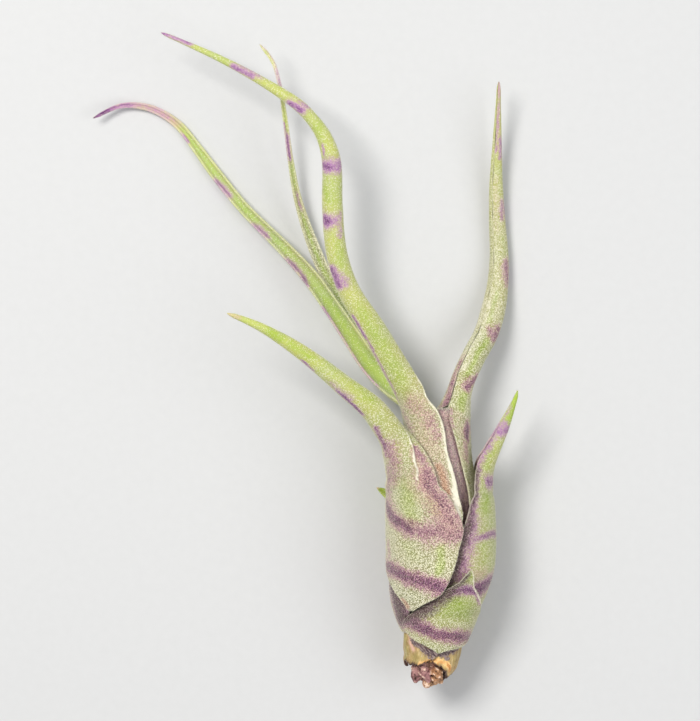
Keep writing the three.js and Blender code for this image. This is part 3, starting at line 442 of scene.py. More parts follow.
        (0.85, 1.2, (20.8, 0.69), (21.8, 0.49), (20.8, 0.1)), (0.55, 0.83, (22.1, 0.07), (16.9, 0.06)),
        (0.4, 2.2, (15, 0.9), (18, 0.86))],
    ("leaf_short_front", "painted_shade"): [
        (1.1, 1.9, (13.4, 0.96), (15.6, 0.92), (17.8, 0.91), (19.8, 0.91), (21.8, 0.96)),
        (0.85, 1.2, (20.8, 0.97), (23.2, 0.99), (25.6, 0.99)),
        (0.8, 2.7, (14.2, 0.87), (16.8, 0.83), (18.8, 0.79))],
    ("leaf_short_front", "warm"): [
        (0.45, 0.83, (8.5, 0.99), (6.9, 0.98))],
    ("leaf_short_front", "vivid"): [
        (0.85, 2.2, (17.2, 0.5), (15.4, 0.35), (14.3, 0.33)), (0.6, 1.7, (14.4, 0.58), (14, 0.46)),
        (0.45, 0.69, (27.5, 0.5), (24.2, 0.47))],
    ("leaf_short_front", "pale"): [
        (0.55, 0.33, (26.6, 0.1), (21.5, 0.04), (16.9, 0.03))],
    ("leaf_short_back", "purple"): [
        (1, 3.4, (22, 0.16), (16.6, 0.16), (10.9, 0.14), (6.5, 0.1)),
        (0.9, 2.4, (27, 0.35), (26, 0.6), (27, 0.9)), (0.9, 2.2, (12, 0.3), (11, 0.6), (12, 0.95))],
    ("leaf_short_back", "painted_shade"): [
        (0.72, 2.8, (21, 0.14), (14, 0.14), (6, 0.12)),
        (1.05, 1.5, (22, 0.05), (13.9, 0.05), (11.4, 0.06))],
    ("leaf_short_back", "warm"): [
        (0.5, 1.8, (8, 0.12), (3, 0.08)), (1.3, 0.75, (10.2, 0.03), (9, 0.035)),
        (0.9, 0.5, (48.5, 0.5), (47.8, 0.5))],
    ("leaf_short_back", "vivid"): [
        (0.8, 3, (46, 0.5), (38, 0.5))],
    ("leaf_heart", "purple"): [
        (0.64, 9, (38, 0.5), (20, 0.5), (8, 0.5)), (1, 0.7, (42, 0.1), (42, 0.9))],
    ("leaf_heart", "warm"): [
        (0.6, 2, (39, 0.4), (36, 0.5))],
    # Cream over the heart lightens it where it lies in shade: painted light.
    ("leaf_heart", "pale"): [
        (0.17, 6, (38, 0.5), (12, 0.5))],
    ("leaf_heart", "painted_shade"): [
        (0.5, 0.6, (42.2, 0.1), (42.2, 0.9))],
    ("old_sheath_left", "painted_shade"): [
        (1.05, 0.6, (9, 0.33), (8, 0.29)), (1.1, 1, (8, 0.27), (6.9, 0.22), (5.9, 0.14), (4.7, 0.03)),
        (1, 0.9, (6.3, 0.24), (5.2, 0.14), (4.5, 0.05)), (1, 1.2, (9.6, 0.26), (8, 0.14), (6.8, 0.04))],
    # The green remnant, strongest towards the sheath's left side, also darkens that side as painted shade.
    ("old_sheath_left", "green"): [
        (0.95, 1.3, (3, 0.6), (6.2, 0.6), (9.5, 0.58)), (0.6, 1.2, (3.9, 0.36), (3.2, 0.22))],
    ("old_sheath_left", "warm"): [
        (1, 0.5, (10.2, 0.34), (8.2, 0.385), (6.2, 0.4))],
    ("old_sheath_left", "torn"): [
        (0.8, 0.7, (2.6, 0.08), (2.2, 0.2))],
    ("old_sheath_right", "painted_shade"): [
        (1.1, 0.9, (8.4, 0.88), (8.9, 0.8), (9.7, 0.72), (10.5, 0.64), (11.2, 0.55)),
        (1, 0.7, (7.9, 0.8), (7.2, 0.785))],
    ("old_sheath_right", "green"): [
        (0.5, 1.3, (6.9, 0.68), (9.4, 0.55))],
    ("old_sheath_right", "torn"): [
        (0.9, 0.75, (6.4, 0.95), (6.4, 0.88), (5.8, 0.82), (4.6, 0.79)),
        (1.35, 0.7, (5.3, 0.8), (3.8, 0.77)), (0.5, 0.8, (3.6, 0.76), (2.2, 0.73)),
        (0.7, 1.2, (2.6, 0.5), (2.6, 0.1))],
}
# One of these tints is painted shadow: it darkens skin where a leaf's margin overhangs it, and the shaded
# parts of the dry sheaths.
TINTS = ("purple", "warm", "vivid", "pale", "painted_shade", "green", "torn")

# The places are shifted by slow waves of these lengths in millimetres, so that no outline is
# regular. A wave's height is a share of a power of its length, and less on narrow skin.
SHIFT_LENGTHS = (7.0, 4.1, 2.6, 1.7)
SHIFT_SHARE = 0.075
SHIFT_POWER = 0.6
FULL_WIDTH = 9
LEAST_SHIFT = 0.25
# How fast a stroke fades away from its line.
FALLOFF = 0.45


def tints_of(name, outer, along, across, seed):
    """Each tint's strength over a leaf. A stroke fades by its distance on the skin, in half widths
    squared, and the strongest stroke of a tint holds at each place."""
    width = girth(outer)
    rng = np.random.default_rng(seed + 200)
    spot = np.stack([along, across * width], axis=-1)
    shift = np.zeros(spot.shape)
    for length in SHIFT_LENGTHS:
        turn, phase, way = rng.uniform(0, 2 * np.pi, 3)
        wave = np.sin((spot[..., 0] * np.cos(turn) + spot[..., 1] * np.sin(turn)) * 2 * np.pi / length
                      + phase)
        height = SHIFT_SHARE * length ** SHIFT_POWER
        shift += height * wave[..., None] * np.array([np.cos(way), np.sin(way)])
    spot = spot + shift * np.clip(width / FULL_WIDTH, LEAST_SHIFT, 1.0)[..., None]

    def on_skin(place, share):
        return np.stack([np.full(width.shape, place), share * width], axis=-1)
    out = {}
    for tint in TINTS:
        out[tint] = np.zeros(along.shape)
        for strength, half, *places in LEAF_STROKES.get((name, tint), ()):
            nearest = np.inf
            for start, end in zip(places[:-1], places[1:]):
                start = on_skin(*start)
                way = on_skin(*end) - start
                share = ((spot - start) * way).sum(axis=-1) / (way ** 2).sum(axis=-1)
                gone = np.linalg.norm(spot - start - np.clip(share, 0, 1)[..., None] * way, axis=-1)
                nearest = np.minimum(nearest, gone)
            value = strength * np.exp(-FALLOFF * (nearest / half) ** 2)
            out[tint] = np.maximum(out[tint], value)
    return out


# Torn rims and the stem end

# How far each dry sheath is torn away above its first row, in millimetres, by the place across.
TORN_RIMS = {
    "old_sheath_left": [(0.0, 3.2), (0.06, 2.5), (0.16, 1.9), (0.3, 1.6), (0.42, 1.8), (0.55, 2.4),
                        (0.62, 2.2), (0.7, 1.2), (0.9, 1.8), (1.0, 2.8)],
    "old_sheath_right": [(0.0, 5.0), (0.12, 3.6), (0.28, 4.2), (0.42, 3.4), (0.56, 3.0), (0.62, 2.0),
                         (0.68, 0.9), (0.73, 0.6), (0.77, 1.7), (0.81, 3.1), (0.86, 4.4), (0.93, 5.5),
                         (1.0, 6.0)],
}

# A fold of the blade's margin over its own skin: its line by the place along, how far the skin is
# raised there in millimetres, and over how many millimetres the rise dies away. It starts from
# just outside the line to just inside.
FOLDS = {
    "leaf_front_left": ([(30, 0.26), (33, 0.24), (36.6, 0.222), (40.8, 0.198), (44.4, 0.165),
                         (47, 0.20), (50, 0.26), (60, 0.28)],
                        [(30, 0.0), (35, 0.3), (38, 0.75), (44, 1.25), (47, 0.9), (52, 0.0)], 3.0),
}
FOLD_START = (-0.22, 0.12)

# Swellings of the skin: place along, place across, half size and height in millimetres.
SWELLINGS = {
    "old_sheath_right": [(4.6, 0.79, 1.3, 0.6), (6.0, 0.88, 1.1, 0.35), (3.4, 0.3, 2.0, 0.3),
                         (4.4, 0.55, 1.5, 0.25)],
    "old_sheath_left": [(3.0, 0.25, 1.2, 0.25), (2.5, 0.62, 1.0, 0.3), (3.0, 0.85, 1.4, 0.3)],
}
# Wrinkles of the dry sheaths: height in millimetres, spacing across and slant for each millimetre.
WRINKLES = ((0.07, 0.03, 0.004), (0.10, 0.09, -0.006))
# The jags of a torn rim: spacing across and height in millimetres. Rows are closer at the rim by
# a power, and the wall is rounded over some millimetres, down to a share of it.
JAGS = ((0.035, 0.30), (0.012, 0.16))
RIM_CROWDING = 1.25
RIM_ROUND = 0.35
LEAST_RIM = 0.06


def shaped(name, outer, inner, along, across, seed):
    """The skin moved out along its normal: by a fold that dies away beside its line, by round
    swellings, and on the dry sheaths by long wrinkles that wander across."""
    width = girth(outer)
    lift = np.zeros(along.shape)
    if name in FOLDS:
        line, heights, reach = FOLDS[name]
        side = (across - read(line, along)) * width
        fading = np.exp(-np.maximum(side, 0) / reach)
        lift += read(heights, along) * step(side, *FOLD_START) * fading
    for s, a, size, height in SWELLINGS.get(name, ()):
        gone = np.hypot(along - s, (across - a) * width)
        lift += height * np.exp(-(gone / size) ** 2)
    if name in TORN_RIMS:
        rng = np.random.default_rng(seed + 100)
        for height, spacing, slant in WRINKLES:
            lift += height * wander(1.0, spacing, rng)(across + slant * along)
    way = unit(np.cross(np.gradient(outer, axis=0), np.gradient(outer, axis=1)))
    outward = np.sign(((outer - inner) * way).sum(axis=-1).mean())
    move = lift[..., None] * way * outward
    return outer + move, inner + move


def tear(outer, inner, along, across, rims, seed):
    """A sheath cut off along a ragged rim: every column starts at the rim's height there, with
    fine jags, and keeps its end."""
    rng = np.random.default_rng(seed)
    low = read(rims, across[0])
    for spacing, height in JAGS:
        low = low + wander(1.0, spacing, rng)(across[0]) * height
    low = np.maximum(low, 0.0)
    rows = along.shape[0]
    high = along[-1, 0]
    share = np.linspace(0, 1, rows)[:, None] ** RIM_CROWDING
    place = low[None, :] + (high - low[None, :]) * share
    at = place / high * (rows - 1)
    base = np.clip(at.astype(int), 0, rows - 2)
    rest = (at - base)[:, :, None]
    columns = np.arange(along.shape[1])[None, :]

    def sampled(grid):
        return grid[base, columns] * (1 - rest) + grid[base + 1, columns] * rest
    outer, inner = sampled(outer), sampled(inner)
    middle, half = 0.5 * (outer + inner), 0.5 * (outer - inner)
    half = half * np.clip(quarter_round(place - low[None, :], RIM_ROUND), LEAST_RIM, 1)[:, :, None]
    return middle + half, middle - half, place, across, low


# Knobs of the broken stem end: middle, half sizes, and tone from mauve 0 to tan 1.
KNOBS = [
    ((31.0, -85.6, 15.4), (1.9, 2.6, 2.2), 0.05), ((30.6, -86.5, 17.2), (1.2, 2.0, 1.4), 0.0),
    ((32.6, -85.0, 18.2), (1.4, 2.3, 1.7), 0.25), ((33.7, -86.8, 18.4), (1.0, 1.8, 1.3), 0.2),
    ((36.1, -86.2, 17.4), (1.8, 2.1, 2.1), 0.9), ((37.1, -87.1, 15.8), (1.2, 1.6, 1.5), 1.0),
    ((33.6, -88.6, 15.6), (1.35, 1.55, 1.6), 0.6), ((35.2, -88.0, 16.6), (1.2, 1.3, 1.3), 0.9),
    ((35.6, -86.4, 12.4), (2.4, 2.2, 2.0), 0.8), ((32.2, -86.2, 12.6), (1.7, 2.2, 1.8), 0.2),
    ((34.2, -88.4, 13.2), (1.3, 1.3, 1.2), 0.6), ((38.0, -85.4, 13.0), (1.7, 2.4, 2.0), 0.8),
    ((36.1, -74.5, 15.0), (6.7, 6.0, 6.7), 0.8),
]
STEM_MIDDLE = np.array([34.6, -84.0, 15.0])
# The core of the stem: its radius at the broken end, what it gains above and between which rises,
# how far it goes up and down from the middle, in millimetres, and its tone. A higher power joins
# core and knobs more sharply. A knob's outline is softened over a share.
CORE_RADIUS = 3.3
CORE_GAIN = 1.5
CORE_WIDENS = (-0.15, 0.35)
CORE_UP = 18.5
CORE_DOWN = 3.0
CORE_TONE = 0.5
JOIN_POWER = 9.0
KNOB_SOFTNESS = 0.10
LEAST_RISE = 1e-3
# Gnarled relief, coarse and fine: waves and how close they are, the range of their phases, the mean
# that is taken off, the share of the fine one in the form and in the tints, and where it sets in.
RELIEF = (5, 9.0)
FINE_RELIEF = (6, 24.0)
RELIEF_PHASES = 6.3
RELIEF_MEAN = 0.64
FINE_FORM = 0.65
FINE_TINT = 0.8
GNARLED_FROM = (-0.75, -0.2)
# How dark the painted shade of a crease is: for each millimetre off the nearest knob, everywhere,
# less for height, and more in the cleft. How bright the painted highlight of a ridge is for its
# height, less a little.
CREASE_DEPTH = 0.5
CREASE_START = 0.30
CREASE_HEIGHT = 1.9
CREASE_CLEFT = 1.2
RIDGE_HEIGHT = 3.2
RIDGE_START = 0.05
# Where the painted shade of a cleft lies, from its start to its full depth: to the right of the middle and
# up.
CLEFT_RIGHT = (2.9, 3.7)
CLEFT_UP = (-4.4, -3.4)


def gnarls(directions, rng, count, sharp):
    """Gnarled relief on a ball, about zero on the whole: |cos| waves across random axes."""
    total = np.zeros(directions.shape[:2])
    for _ in range(count):
        axis = rng.normal(size=3)
        waves = directions @ (axis / np.linalg.norm(axis)) * sharp
        total += np.abs(np.cos(waves + rng.uniform(0, RELIEF_PHASES)))
    return total / count - RELIEF_MEAN


def stem_surface(rows, columns, seed):
    """The stem end as one closed surface: the distance from its middle in each direction. That is
    the smooth maximum of the far sides of the knobs and of an upward core, plus gnarled relief. The
    distance t to a knob's far side solves |(middle + t way - knob) / size| = 1."""
    turn = np.linspace(0, 2 * np.pi, columns + 1)[None, :-1]
    tilt = np.linspace(0, np.pi, rows + 2)[1:-1, None]
    way = np.stack([np.sin(tilt) * np.cos(turn), -np.cos(tilt) + 0 * turn,
                    np.sin(tilt) * np.sin(turn)], axis=-1)
    rise = way[..., 1]
    core_side = CORE_RADIUS + CORE_GAIN * step(rise, *CORE_WIDENS)
    core_end = np.where(rise > 0, CORE_UP / np.maximum(rise, LEAST_RISE), CORE_DOWN)
    level = np.maximum(np.hypot(way[..., 0], way[..., 2]), LEAST_RISE)
    core = np.minimum(core_side / level, core_end)
    total = core ** JOIN_POWER
    near = core.copy()
    tone = CORE_TONE * total
    for middle, size, hue in KNOBS:
        offset = (STEM_MIDDLE - np.array(middle)) / np.array(size)
        ray = way / np.array(size)
        a = (ray ** 2).sum(axis=-1)
        b = (ray * offset).sum(axis=-1)
        inside = b ** 2 - a * ((offset ** 2).sum() - 1)
        reach = (-b + np.sqrt(np.maximum(inside, 0))) / a
        reach = np.where(inside > 0, reach, 0) * np.clip(inside / (KNOB_SOFTNESS * a), 0, 1) ** 0.5
        weight = np.maximum(reach, 0) ** JOIN_POWER
        total += weight
        tone += hue * weight
        near = np.maximum(near, reach)
    tone = tone / total
    distance = total ** (1 / JOIN_POWER)
    rng = np.random.default_rng(seed)
    seen = step(-rise, *GNARLED_FROM)
    relief = gnarls(way, rng, *RELIEF)
    fine = gnarls(way, rng, *FINE_RELIEF)
    distance = distance + seen * (relief + FINE_FORM * fine)
    height = relief + FINE_TINT * fine
    # Painted shade in the creases between knobs and in a cleft, and painted highlight on the ridges.
    cleft = step(way[..., 0] * distance, *CLEFT_RIGHT) * step(rise * distance, *CLEFT_UP)
    crease_shade = (distance - near) * CREASE_DEPTH + CREASE_START - CREASE_HEIGHT * height
    crease_shade = np.clip(crease_shade + CREASE_CLEFT * cleft, 0, 1) * seen
    ridge_highlight = np.clip(RIDGE_HEIGHT * height - RIDGE_START, 0, 1) * seen
    points = STEM_MIDDLE + way * distance[..., None]
    poles = [STEM_MIDDLE - [0, distance[0].mean(), 0], STEM_MIDDLE + [0, distance[-1].mean(), 0]]
    return points, np.array(poles), {"deep": crease_shade, "ridge_highlight": ridge_highlight, "tone": tone}


# Meshes

def corners(*columns):
    """Faces from columns of point numbers, one column for each corner."""
    return np.stack(columns, axis=-1).reshape(-1, len(columns))


def ball_faces(rows, columns):
    """Triangles of a closed ball-like surface: a wrapped grid and a fan at each pole. The two poles
    are the last two points."""
    number = np.arange(rows * columns).reshape(rows, columns)
    after = np.roll(number, -1, axis=1)
    low, high = np.full((2, columns), [[rows * columns], [rows * columns + 1]])
    a, b, c, d = number[:-1], number[1:], after[1:], after[:-1]
    return np.vstack([corners(a, b, c), corners(a, c, d), corners(low, number[0], after[0]),
                      corners(high, after[-1], number[-1])])


def sheet_faces(rows, columns):
    """The quads of a closed shell of two sheets, outer first, joined along their four sides."""
    out, into = np.arange(2 * rows * columns).reshape(2, rows, columns)
    return np.vstack([
        corners(out[:-1, :-1], out[1:, :-1], out[1:, 1:], out[:-1, 1:]),
        corners(into[:-1, :-1], into[:-1, 1:], into[1:, 1:], into[1:, :-1]),
        corners(out[:-1, 0], into[:-1, 0], into[1:, 0], out[1:, 0]),
        corners(into[:-1, -1], out[:-1, -1], out[1:, -1], into[1:, -1]),
        corners(out[0, :-1], out[0, 1:], into[0, 1:], into[0, :-1]),
        corners(out[-1, 1:], out[-1, :-1], into[-1, :-1], into[-1, 1:]),
    ])


def make_piece(name, points, faces, material, nodes=(), values=None, maps=None):
    """A mesh object from points in millimetres, faces of one size each, values for each point and a
    map for the faces' corners. It rides on the body root and stands for the given nodes."""
    mesh = bpy.data.meshes.new(name)
    mesh.from_pydata((points * MM).tolist(), [], faces.tolist(), shade_flat=False)
    for key, value in (values or {}).items():
        layer = mesh.attributes.new(key, "FLOAT", "POINT")
        layer.data.foreach_set("value", value.astype(np.float32).ravel())
    if maps is not None:
        layer = mesh.uv_layers.new(name="OFBake")
        layer.data.foreach_set("uv", maps[faces.ravel()].astype(np.float32).ravel())
    mesh.update(calc_edges=True)
    mesh.validate()
    mesh.materials.append(material)
    obj = bpy.data.objects.new(name, mesh)
    bpy.context.scene.collection.objects.link(obj)
    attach(obj, "root")
    if nodes:
        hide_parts(*nodes)


# Materials

class Signal:
    """What an output of a shader node gives at each point of a surface. A sum, a difference or a
    product of signals is a signal from one more node."""

    def __init__(self, socket):
        self.socket = socket
        self.tree = socket.id_data

    def joined(self, operation, other=0.0):
        node = add_node(self.tree, "ShaderNodeMath", {0: self, 1: other}, operation=operation)
        return Signal(node.outputs[0])

    def __add__(self, other):
        return self.joined("ADD", other)

    def __sub__(self, other):
        return self.joined("SUBTRACT", other)

    def __mul__(self, other):
        return self.joined("MULTIPLY", other)

    def spread(self, low, high, to_low=0.0, to_high=1.0):
        """The signal stretched smoothly from low..high to to_low..to_high."""
        inputs = {"Value": self, "From Min": low, "From Max": high, "To Min": to_low,
                  "To Max": to_high}
        node = add_node(self.tree, "ShaderNodeMapRange", inputs, interpolation_type="SMOOTHSTEP")
        return Signal(node.outputs["Result"])


def connect(node, inputs):
    """Gives inputs of a node a signal, a number or a colour each."""
    for key, value in inputs.items():
        if isinstance(value, Signal):
            node.id_data.links.new(value.socket, node.inputs[key])
        else:
            node.inputs[key].default_value = value


def add_node(tree, kind, inputs, **settings):
    """A shader node with its settings and inputs."""
    node = tree.nodes.new(kind)
    for key, value in settings.items():
        setattr(node, key, value)
    connect(node, inputs)
    return node


def blend(share, first, second):
    """Two colours mixed by a share from 0 to 1. One of the three is a signal at least."""
    inputs = {"Fac": share, "Color1": first, "Color2": second}
    for key, value in inputs.items():
        if isinstance(value, tuple):
            inputs[key] = (*value, 1.0)
    tree = next(value.tree for value in inputs.values() if isinstance(value, Signal))
    return Signal(add_node(tree, "ShaderNodeMixRGB", inputs).outputs["Color"])


def under(colour, *layers):
    """A colour under others, each laid over what is below it by its share."""
    for share, above in layers:
        colour = blend(share, colour, above)
    return colour


def noise(place, scale, detail=3.0, rough=0.55):
    """Cloudy noise from 0 to 1, scale clouds a metre."""
    inputs = {"Vector": place, "Scale": scale, "Detail": detail, "Roughness": rough}
    return Signal(add_node(place.tree, "ShaderNodeTexNoise", inputs).outputs["Fac"])


def cells(place, scale):
    """Distance from the nearest of scale random points a metre, and two random numbers for each."""
    inputs = {"Vector": place, "Scale": scale}
    node = add_node(place.tree, "ShaderNodeTexVoronoi", inputs, feature="F1")
    split = add_node(place.tree, "ShaderNodeSeparateColor", {"Color": Signal(node.outputs["Color"])})
    outputs = (node.outputs["Distance"], split.outputs["Red"], split.outputs["Green"])
    return [Signal(output) for output in outputs]


def mapped(place, inputs, **settings):
    """Coordinates turned and stretched."""
    node = add_node(place.tree, "ShaderNodeMapping", {"Vector": place, **inputs}, **settings)
    return Signal(node.outputs["Vector"])


def mesh_value(material, key):
    """A value at each point, from the mesh."""
    node = add_node(material.node_tree, "ShaderNodeAttribute", {}, attribute_name=key)
    return Signal(node.outputs["Fac"])


def new_material(name):
    """An empty node material, and its coordinates on the object."""
    material = bpy.data.materials.new(name)
    material.use_nodes = True
    return material, Signal(material.node_tree.nodes.new("ShaderNodeTexCoord").outputs["Object"])


def finished(material, inputs, relief=None, strength=0.0, depth=0.0):
    """The material with its surface inputs and a bump from a relief, its depth in metres."""
    shader = material.node_tree.nodes["Principled BSDF"]
    connect(shader, inputs)
    if relief:
        bump = {"Strength": strength, "Distance": depth, "Height": relief}
        bump = add_node(material.node_tree, "ShaderNodeBump", bump)
        connect(shader, {"Normal": Signal(bump.outputs["Normal"])})
    return material


# Colours of the living leaf, the dry sheaths, and the rest.
YELLOW_GREEN = (0.64, 0.73, 0.125)
FRESH_GREEN = (0.42, 0.57, 0.05)
SOFT_GREEN = (0.40, 0.56, 0.18)
CREAM_GREEN = (0.58, 0.52, 0.21)
CREAM = (0.93, 0.88, 0.71)
SILVER = (0.98, 0.94, 0.74)
LILAC = (0.58, 0.27, 0.57)
ROSE = (0.58, 0.25, 0.34)
VIOLET = (0.15, 0.034, 0.165)
PURPLE = (0.12, 0.025, 0.082)
PINK_TAN = (0.74, 0.51, 0.36)
DEEP_TAN = (0.52, 0.24, 0.12)
# Painted shadow on the leaf skin.
PAINTED_SHADE_COLOUR = (0.100, 0.055, 0.052)
# Painted shade in the gaps between the scales.
SHADE_BETWEEN_SCALES = (0.035, 0.022, 0.018)
SCALE_LILAC = (0.74, 0.40, 0.68)
SCALE_ROSE = (0.74, 0.39, 0.47)
SCALE_PLUM = (0.25, 0.07, 0.20)
SCALE_PINK = (0.84, 0.56, 0.43)
SCALE_TAN = (0.82, 0.50, 0.31)
# Scales in painted shadow.
SCALE_IN_SHADE = (0.155, 0.098, 0.095)
SHEEN = (0.97, 0.95, 0.86, 1.0)
STRAW = (0.56, 0.41, 0.16)
OCHRE = (0.44, 0.28, 0.11)
MOSS = (0.35, 0.32, 0.10)
DARK_FIBRE = (0.24, 0.12, 0.05)
PALE_FIBRE = (0.80, 0.62, 0.36)
AMBER = (0.95, 0.60, 0.24)
ORANGE_TAN = (0.74, 0.36, 0.11)
RUST = (0.60, 0.25, 0.06)
# Painted shadow at the torn rim of a dry sheath.
RIM_SHADE = (0.085, 0.030, 0.016)
PINK_HUSK = (0.72, 0.44, 0.34)
# Lighter and darker painted shadow on the dry sheaths.
SHADED_HUSK = (0.30, 0.22, 0.21)
DEEP_SHADED_HUSK = (0.06, 0.03, 0.04)
MAUVE = ((0.36, 0.17, 0.17), (0.52, 0.28, 0.25))
TAN = ((0.44, 0.21, 0.10), (0.58, 0.33, 0.18))
# Painted highlight on the ridges of the stem end.
RIDGE_HIGHLIGHT = (0.90, 0.66, 0.50)
# Painted shade in the creases of the stem end.
CREASE_SHADE_COLOUR = (0.045, 0.018, 0.012)
PORE = (0.07, 0.03, 0.02)
HAIR = (0.84, 0.82, 0.60, 1.0)
FLOOR = ((0.61, 0.61, 0.605), (0.64, 0.64, 0.635))


def leaf_coat():
    """Living leaf: green under a silvery coat of round scales about 0.3 mm apart, with painted shade
    between them where the frost is dense. Tints lie as the mesh says, one of them painted shadow, and
    each scale takes or leaves them, so that their outlines dissolve."""
    material, place = new_material("leaf_coat")
    cloud = noise(place, 330)
    broad = noise(place, 90, 2.0)
    far, pick, tone = cells(place, 3200)
    far_fine, pick_fine, _ = cells(place, 6200)
    frost = mesh_value(material, "frost")
    inside = mesh_value(material, "inside")
    grain = (tone - 0.5) * frost.spread(0.2, 0.7, 0.2, 0.45) + (cloud - 0.5) * 0.5

    def pigment(key, low, high):
        value = mesh_value(material, key)
        return (value + grain * value.spread(0.0, 0.3)).spread(low, high)

    purple = pigment("purple", 0.0, 0.70)
    deep = pigment("purple", 0.42, 0.98)
    warm = pigment("warm", 0.0, 0.9)
    burnt = pigment("warm", 0.75, 1.15)
    vivid = pigment("vivid", 0.0, 1.0)
    painted_shade = pigment("painted_shade", 0.05, 0.85)
    pale = pigment("pale", 0.05, 0.75)

    frosty = frost.spread(0.35, 0.7)
    skin = under(blend(frost, YELLOW_GREEN, CREAM_GREEN), (inside, SOFT_GREEN),
                 (broad.spread(0.35, 0.7, 0.0, 0.4), SOFT_GREEN), (vivid, FRESH_GREEN),
                 (warm, PINK_TAN), (purple, blend(frosty, LILAC, ROSE)), (burnt, DEEP_TAN),
                 (deep, blend(frosty, VIOLET, PURPLE)), (painted_shade, PAINTED_SHADE_COLOUR))
    scale = under(SILVER, (purple * 0.8, blend(frosty, SCALE_LILAC, SCALE_ROSE)),
                  (deep * 0.80, SCALE_PLUM), (warm * 0.6, SCALE_PINK), (burnt * 0.5, SCALE_TAN),
                  (vivid * 0.45, YELLOW_GREEN), (painted_shade * 0.72, SCALE_IN_SHADE),
                  (tone.spread(0.0, 1.0, 0.30, 0.0), skin))
    big = (far - frost * 0.16).spread(0.50, 0.24) * (frost * 1.25 - pick).spread(-0.18, 0.20)
    small = far_fine.spread(0.50, 0.20) * (frost - pick_fine).spread(-0.08, 0.12) * 0.5
    scales = big.joined("MAXIMUM", small)
    # Painted shade between the scales, deeper where the frost is dense.
    shaded_gap = blend(frost * 0.70, skin, SHADE_BETWEEN_SCALES)
    colour = under(shaded_gap, (scales * 0.9, scale), (pale, CREAM),
                   (mesh_value(material, "edge") * 0.7, blend(0.5, CREAM, scale)))
    vein = (mesh_value(material, "side") * 9.0).joined("SINE")
    inputs = {"Base Color": colour, "Roughness": scales.spread(0.0, 1.0, 0.52, 0.8),
              "Specular IOR Level": 0.3, "Sheen Weight": 0.45, "Sheen Roughness": 0.35,
              "Sheen Tint": SHEEN}
    return finished(material, inputs, scales + cloud * 0.6 + vein * 0.16,
                    strength=0.7, depth=0.00014)


def dry_husk():
    """Old leaf base: yellow-tan and fibrous, orange-brown where it is torn, and a green remnant as the
    mesh says. Painted shadow lies where another leaf shades it, grey-purple with dark slanting
    streaks, and near black at the torn rim. Long fibres run towards the leaf tips."""
    material, place = new_material("dry_husk")
    fibre = noise(mapped(place, {"Scale": (1.0, 0.22, 1.0)}), 1500, 4.0, 0.6)
    cloud = noise(place, 420)
    _, pick, tone = cells(place, 2600)
    far, _, _ = cells(place, 3300)
    torn_here = mesh_value(material, "torn")
    torn = torn_here + (tone - 0.5) * 0.4
    amber = under(blend(cloud.spread(0.36, 0.62), AMBER, ORANGE_TAN), (torn.spread(0.9, 1.25), RUST))
    # Painted shadow at the torn rim, near black and fading away from it, less where the rim is torn
    # orange.
    shade_at_rim = mesh_value(material, "rim") - torn_here * 0.25 + cloud
    # Painted shadow where another leaf shades the sheath, as the mesh says, with slanting streaks in it.
    painted_shade = mesh_value(material, "painted_shade") + (pick - 0.5) * 0.5
    slant = {"Rotation": (0.0, 0.0, -0.7), "Scale": (4.0, 1.0, 1.6)}
    hatch = noise(mapped(place, slant, vector_type="TEXTURE"), 2600, 3.0, 0.6)
    dot = far.spread(0.42, 0.15) * pick.spread(0.45, 0.9)
    colour = under(blend(cloud.spread(0.3, 0.7), STRAW, OCHRE),
                   (mesh_value(material, "green") * cloud.spread(0.2, 0.6), MOSS),
                   (fibre.spread(0.45, 0.7, 0.0, 0.7), DARK_FIBRE),
                   (fibre.spread(0.42, 0.3, 0.0, 0.45), PALE_FIBRE),
                   (torn.spread(0.25, 0.8), amber), (shade_at_rim.spread(0.7, 1.32), RIM_SHADE),
                   (mesh_value(material, "warm"), PINK_HUSK),
                   (painted_shade.spread(0.3, 0.9), blend(hatch.spread(0.36, 0.66), SHADED_HUSK, DEEP_SHADED_HUSK)),
                   (dot * 0.35, SILVER))
    inputs = {"Base Color": colour, "Roughness": fibre.spread(0.3, 0.7, 0.6, 0.9),
              "Sheen Weight": 0.15, "Specular IOR Level": 0.3}
    return finished(material, inputs, fibre * 1.2 + cloud, strength=0.8, depth=0.0003)


def stem_bark():
    """Woody stem end: pinkish brown knobs and pores, with painted shade in the creases and painted
    highlights on the ridges.
    """
    material, place = new_material("stem_bark")
    cloud = noise(place, 700, 4.0, 0.6)
    broad = noise(place, 220, 2.0).spread(0.35, 0.65)
    far, pick, _ = cells(place, 1700)
    highlight_on_ridges = mesh_value(material, "ridge_highlight") + (cloud - 0.5) * 1.4
    shade_in_creases = mesh_value(material, "deep") + (cloud - 0.5) * 1.1
    pore = far.spread(0.10, 0.32, 1.0, 0.0) * pick.spread(0.4, 0.7)
    colour = under(blend(broad, *MAUVE),
                   (mesh_value(material, "tone").spread(0.25, 0.75), blend(broad, *TAN)),
                   # Painted highlight on the ridges, then painted shade in the creases.
                   (highlight_on_ridges.spread(0.25, 0.95, 0.0, 0.9), RIDGE_HIGHLIGHT),
                   (shade_in_creases.spread(0.25, 1.0), CREASE_SHADE_COLOUR), (pore * 0.7, PORE))
    inputs = {"Base Color": colour, "Roughness": cloud.spread(0.3, 0.7, 0.62, 0.9),
              "Specular IOR Level": 0.35}
    return finished(material, inputs, cloud * 1.3 - pore, strength=0.9, depth=0.0004)


def leaf_hair():
    """Short silvery hairs, one colour all over and matt."""
    material, _ = new_material("leaf_hair")
    return finished(material, {"Base Color": HAIR, "Roughness": 0.55, "Specular IOR Level": 0.35,
                               "Sheen Weight": 0.3})


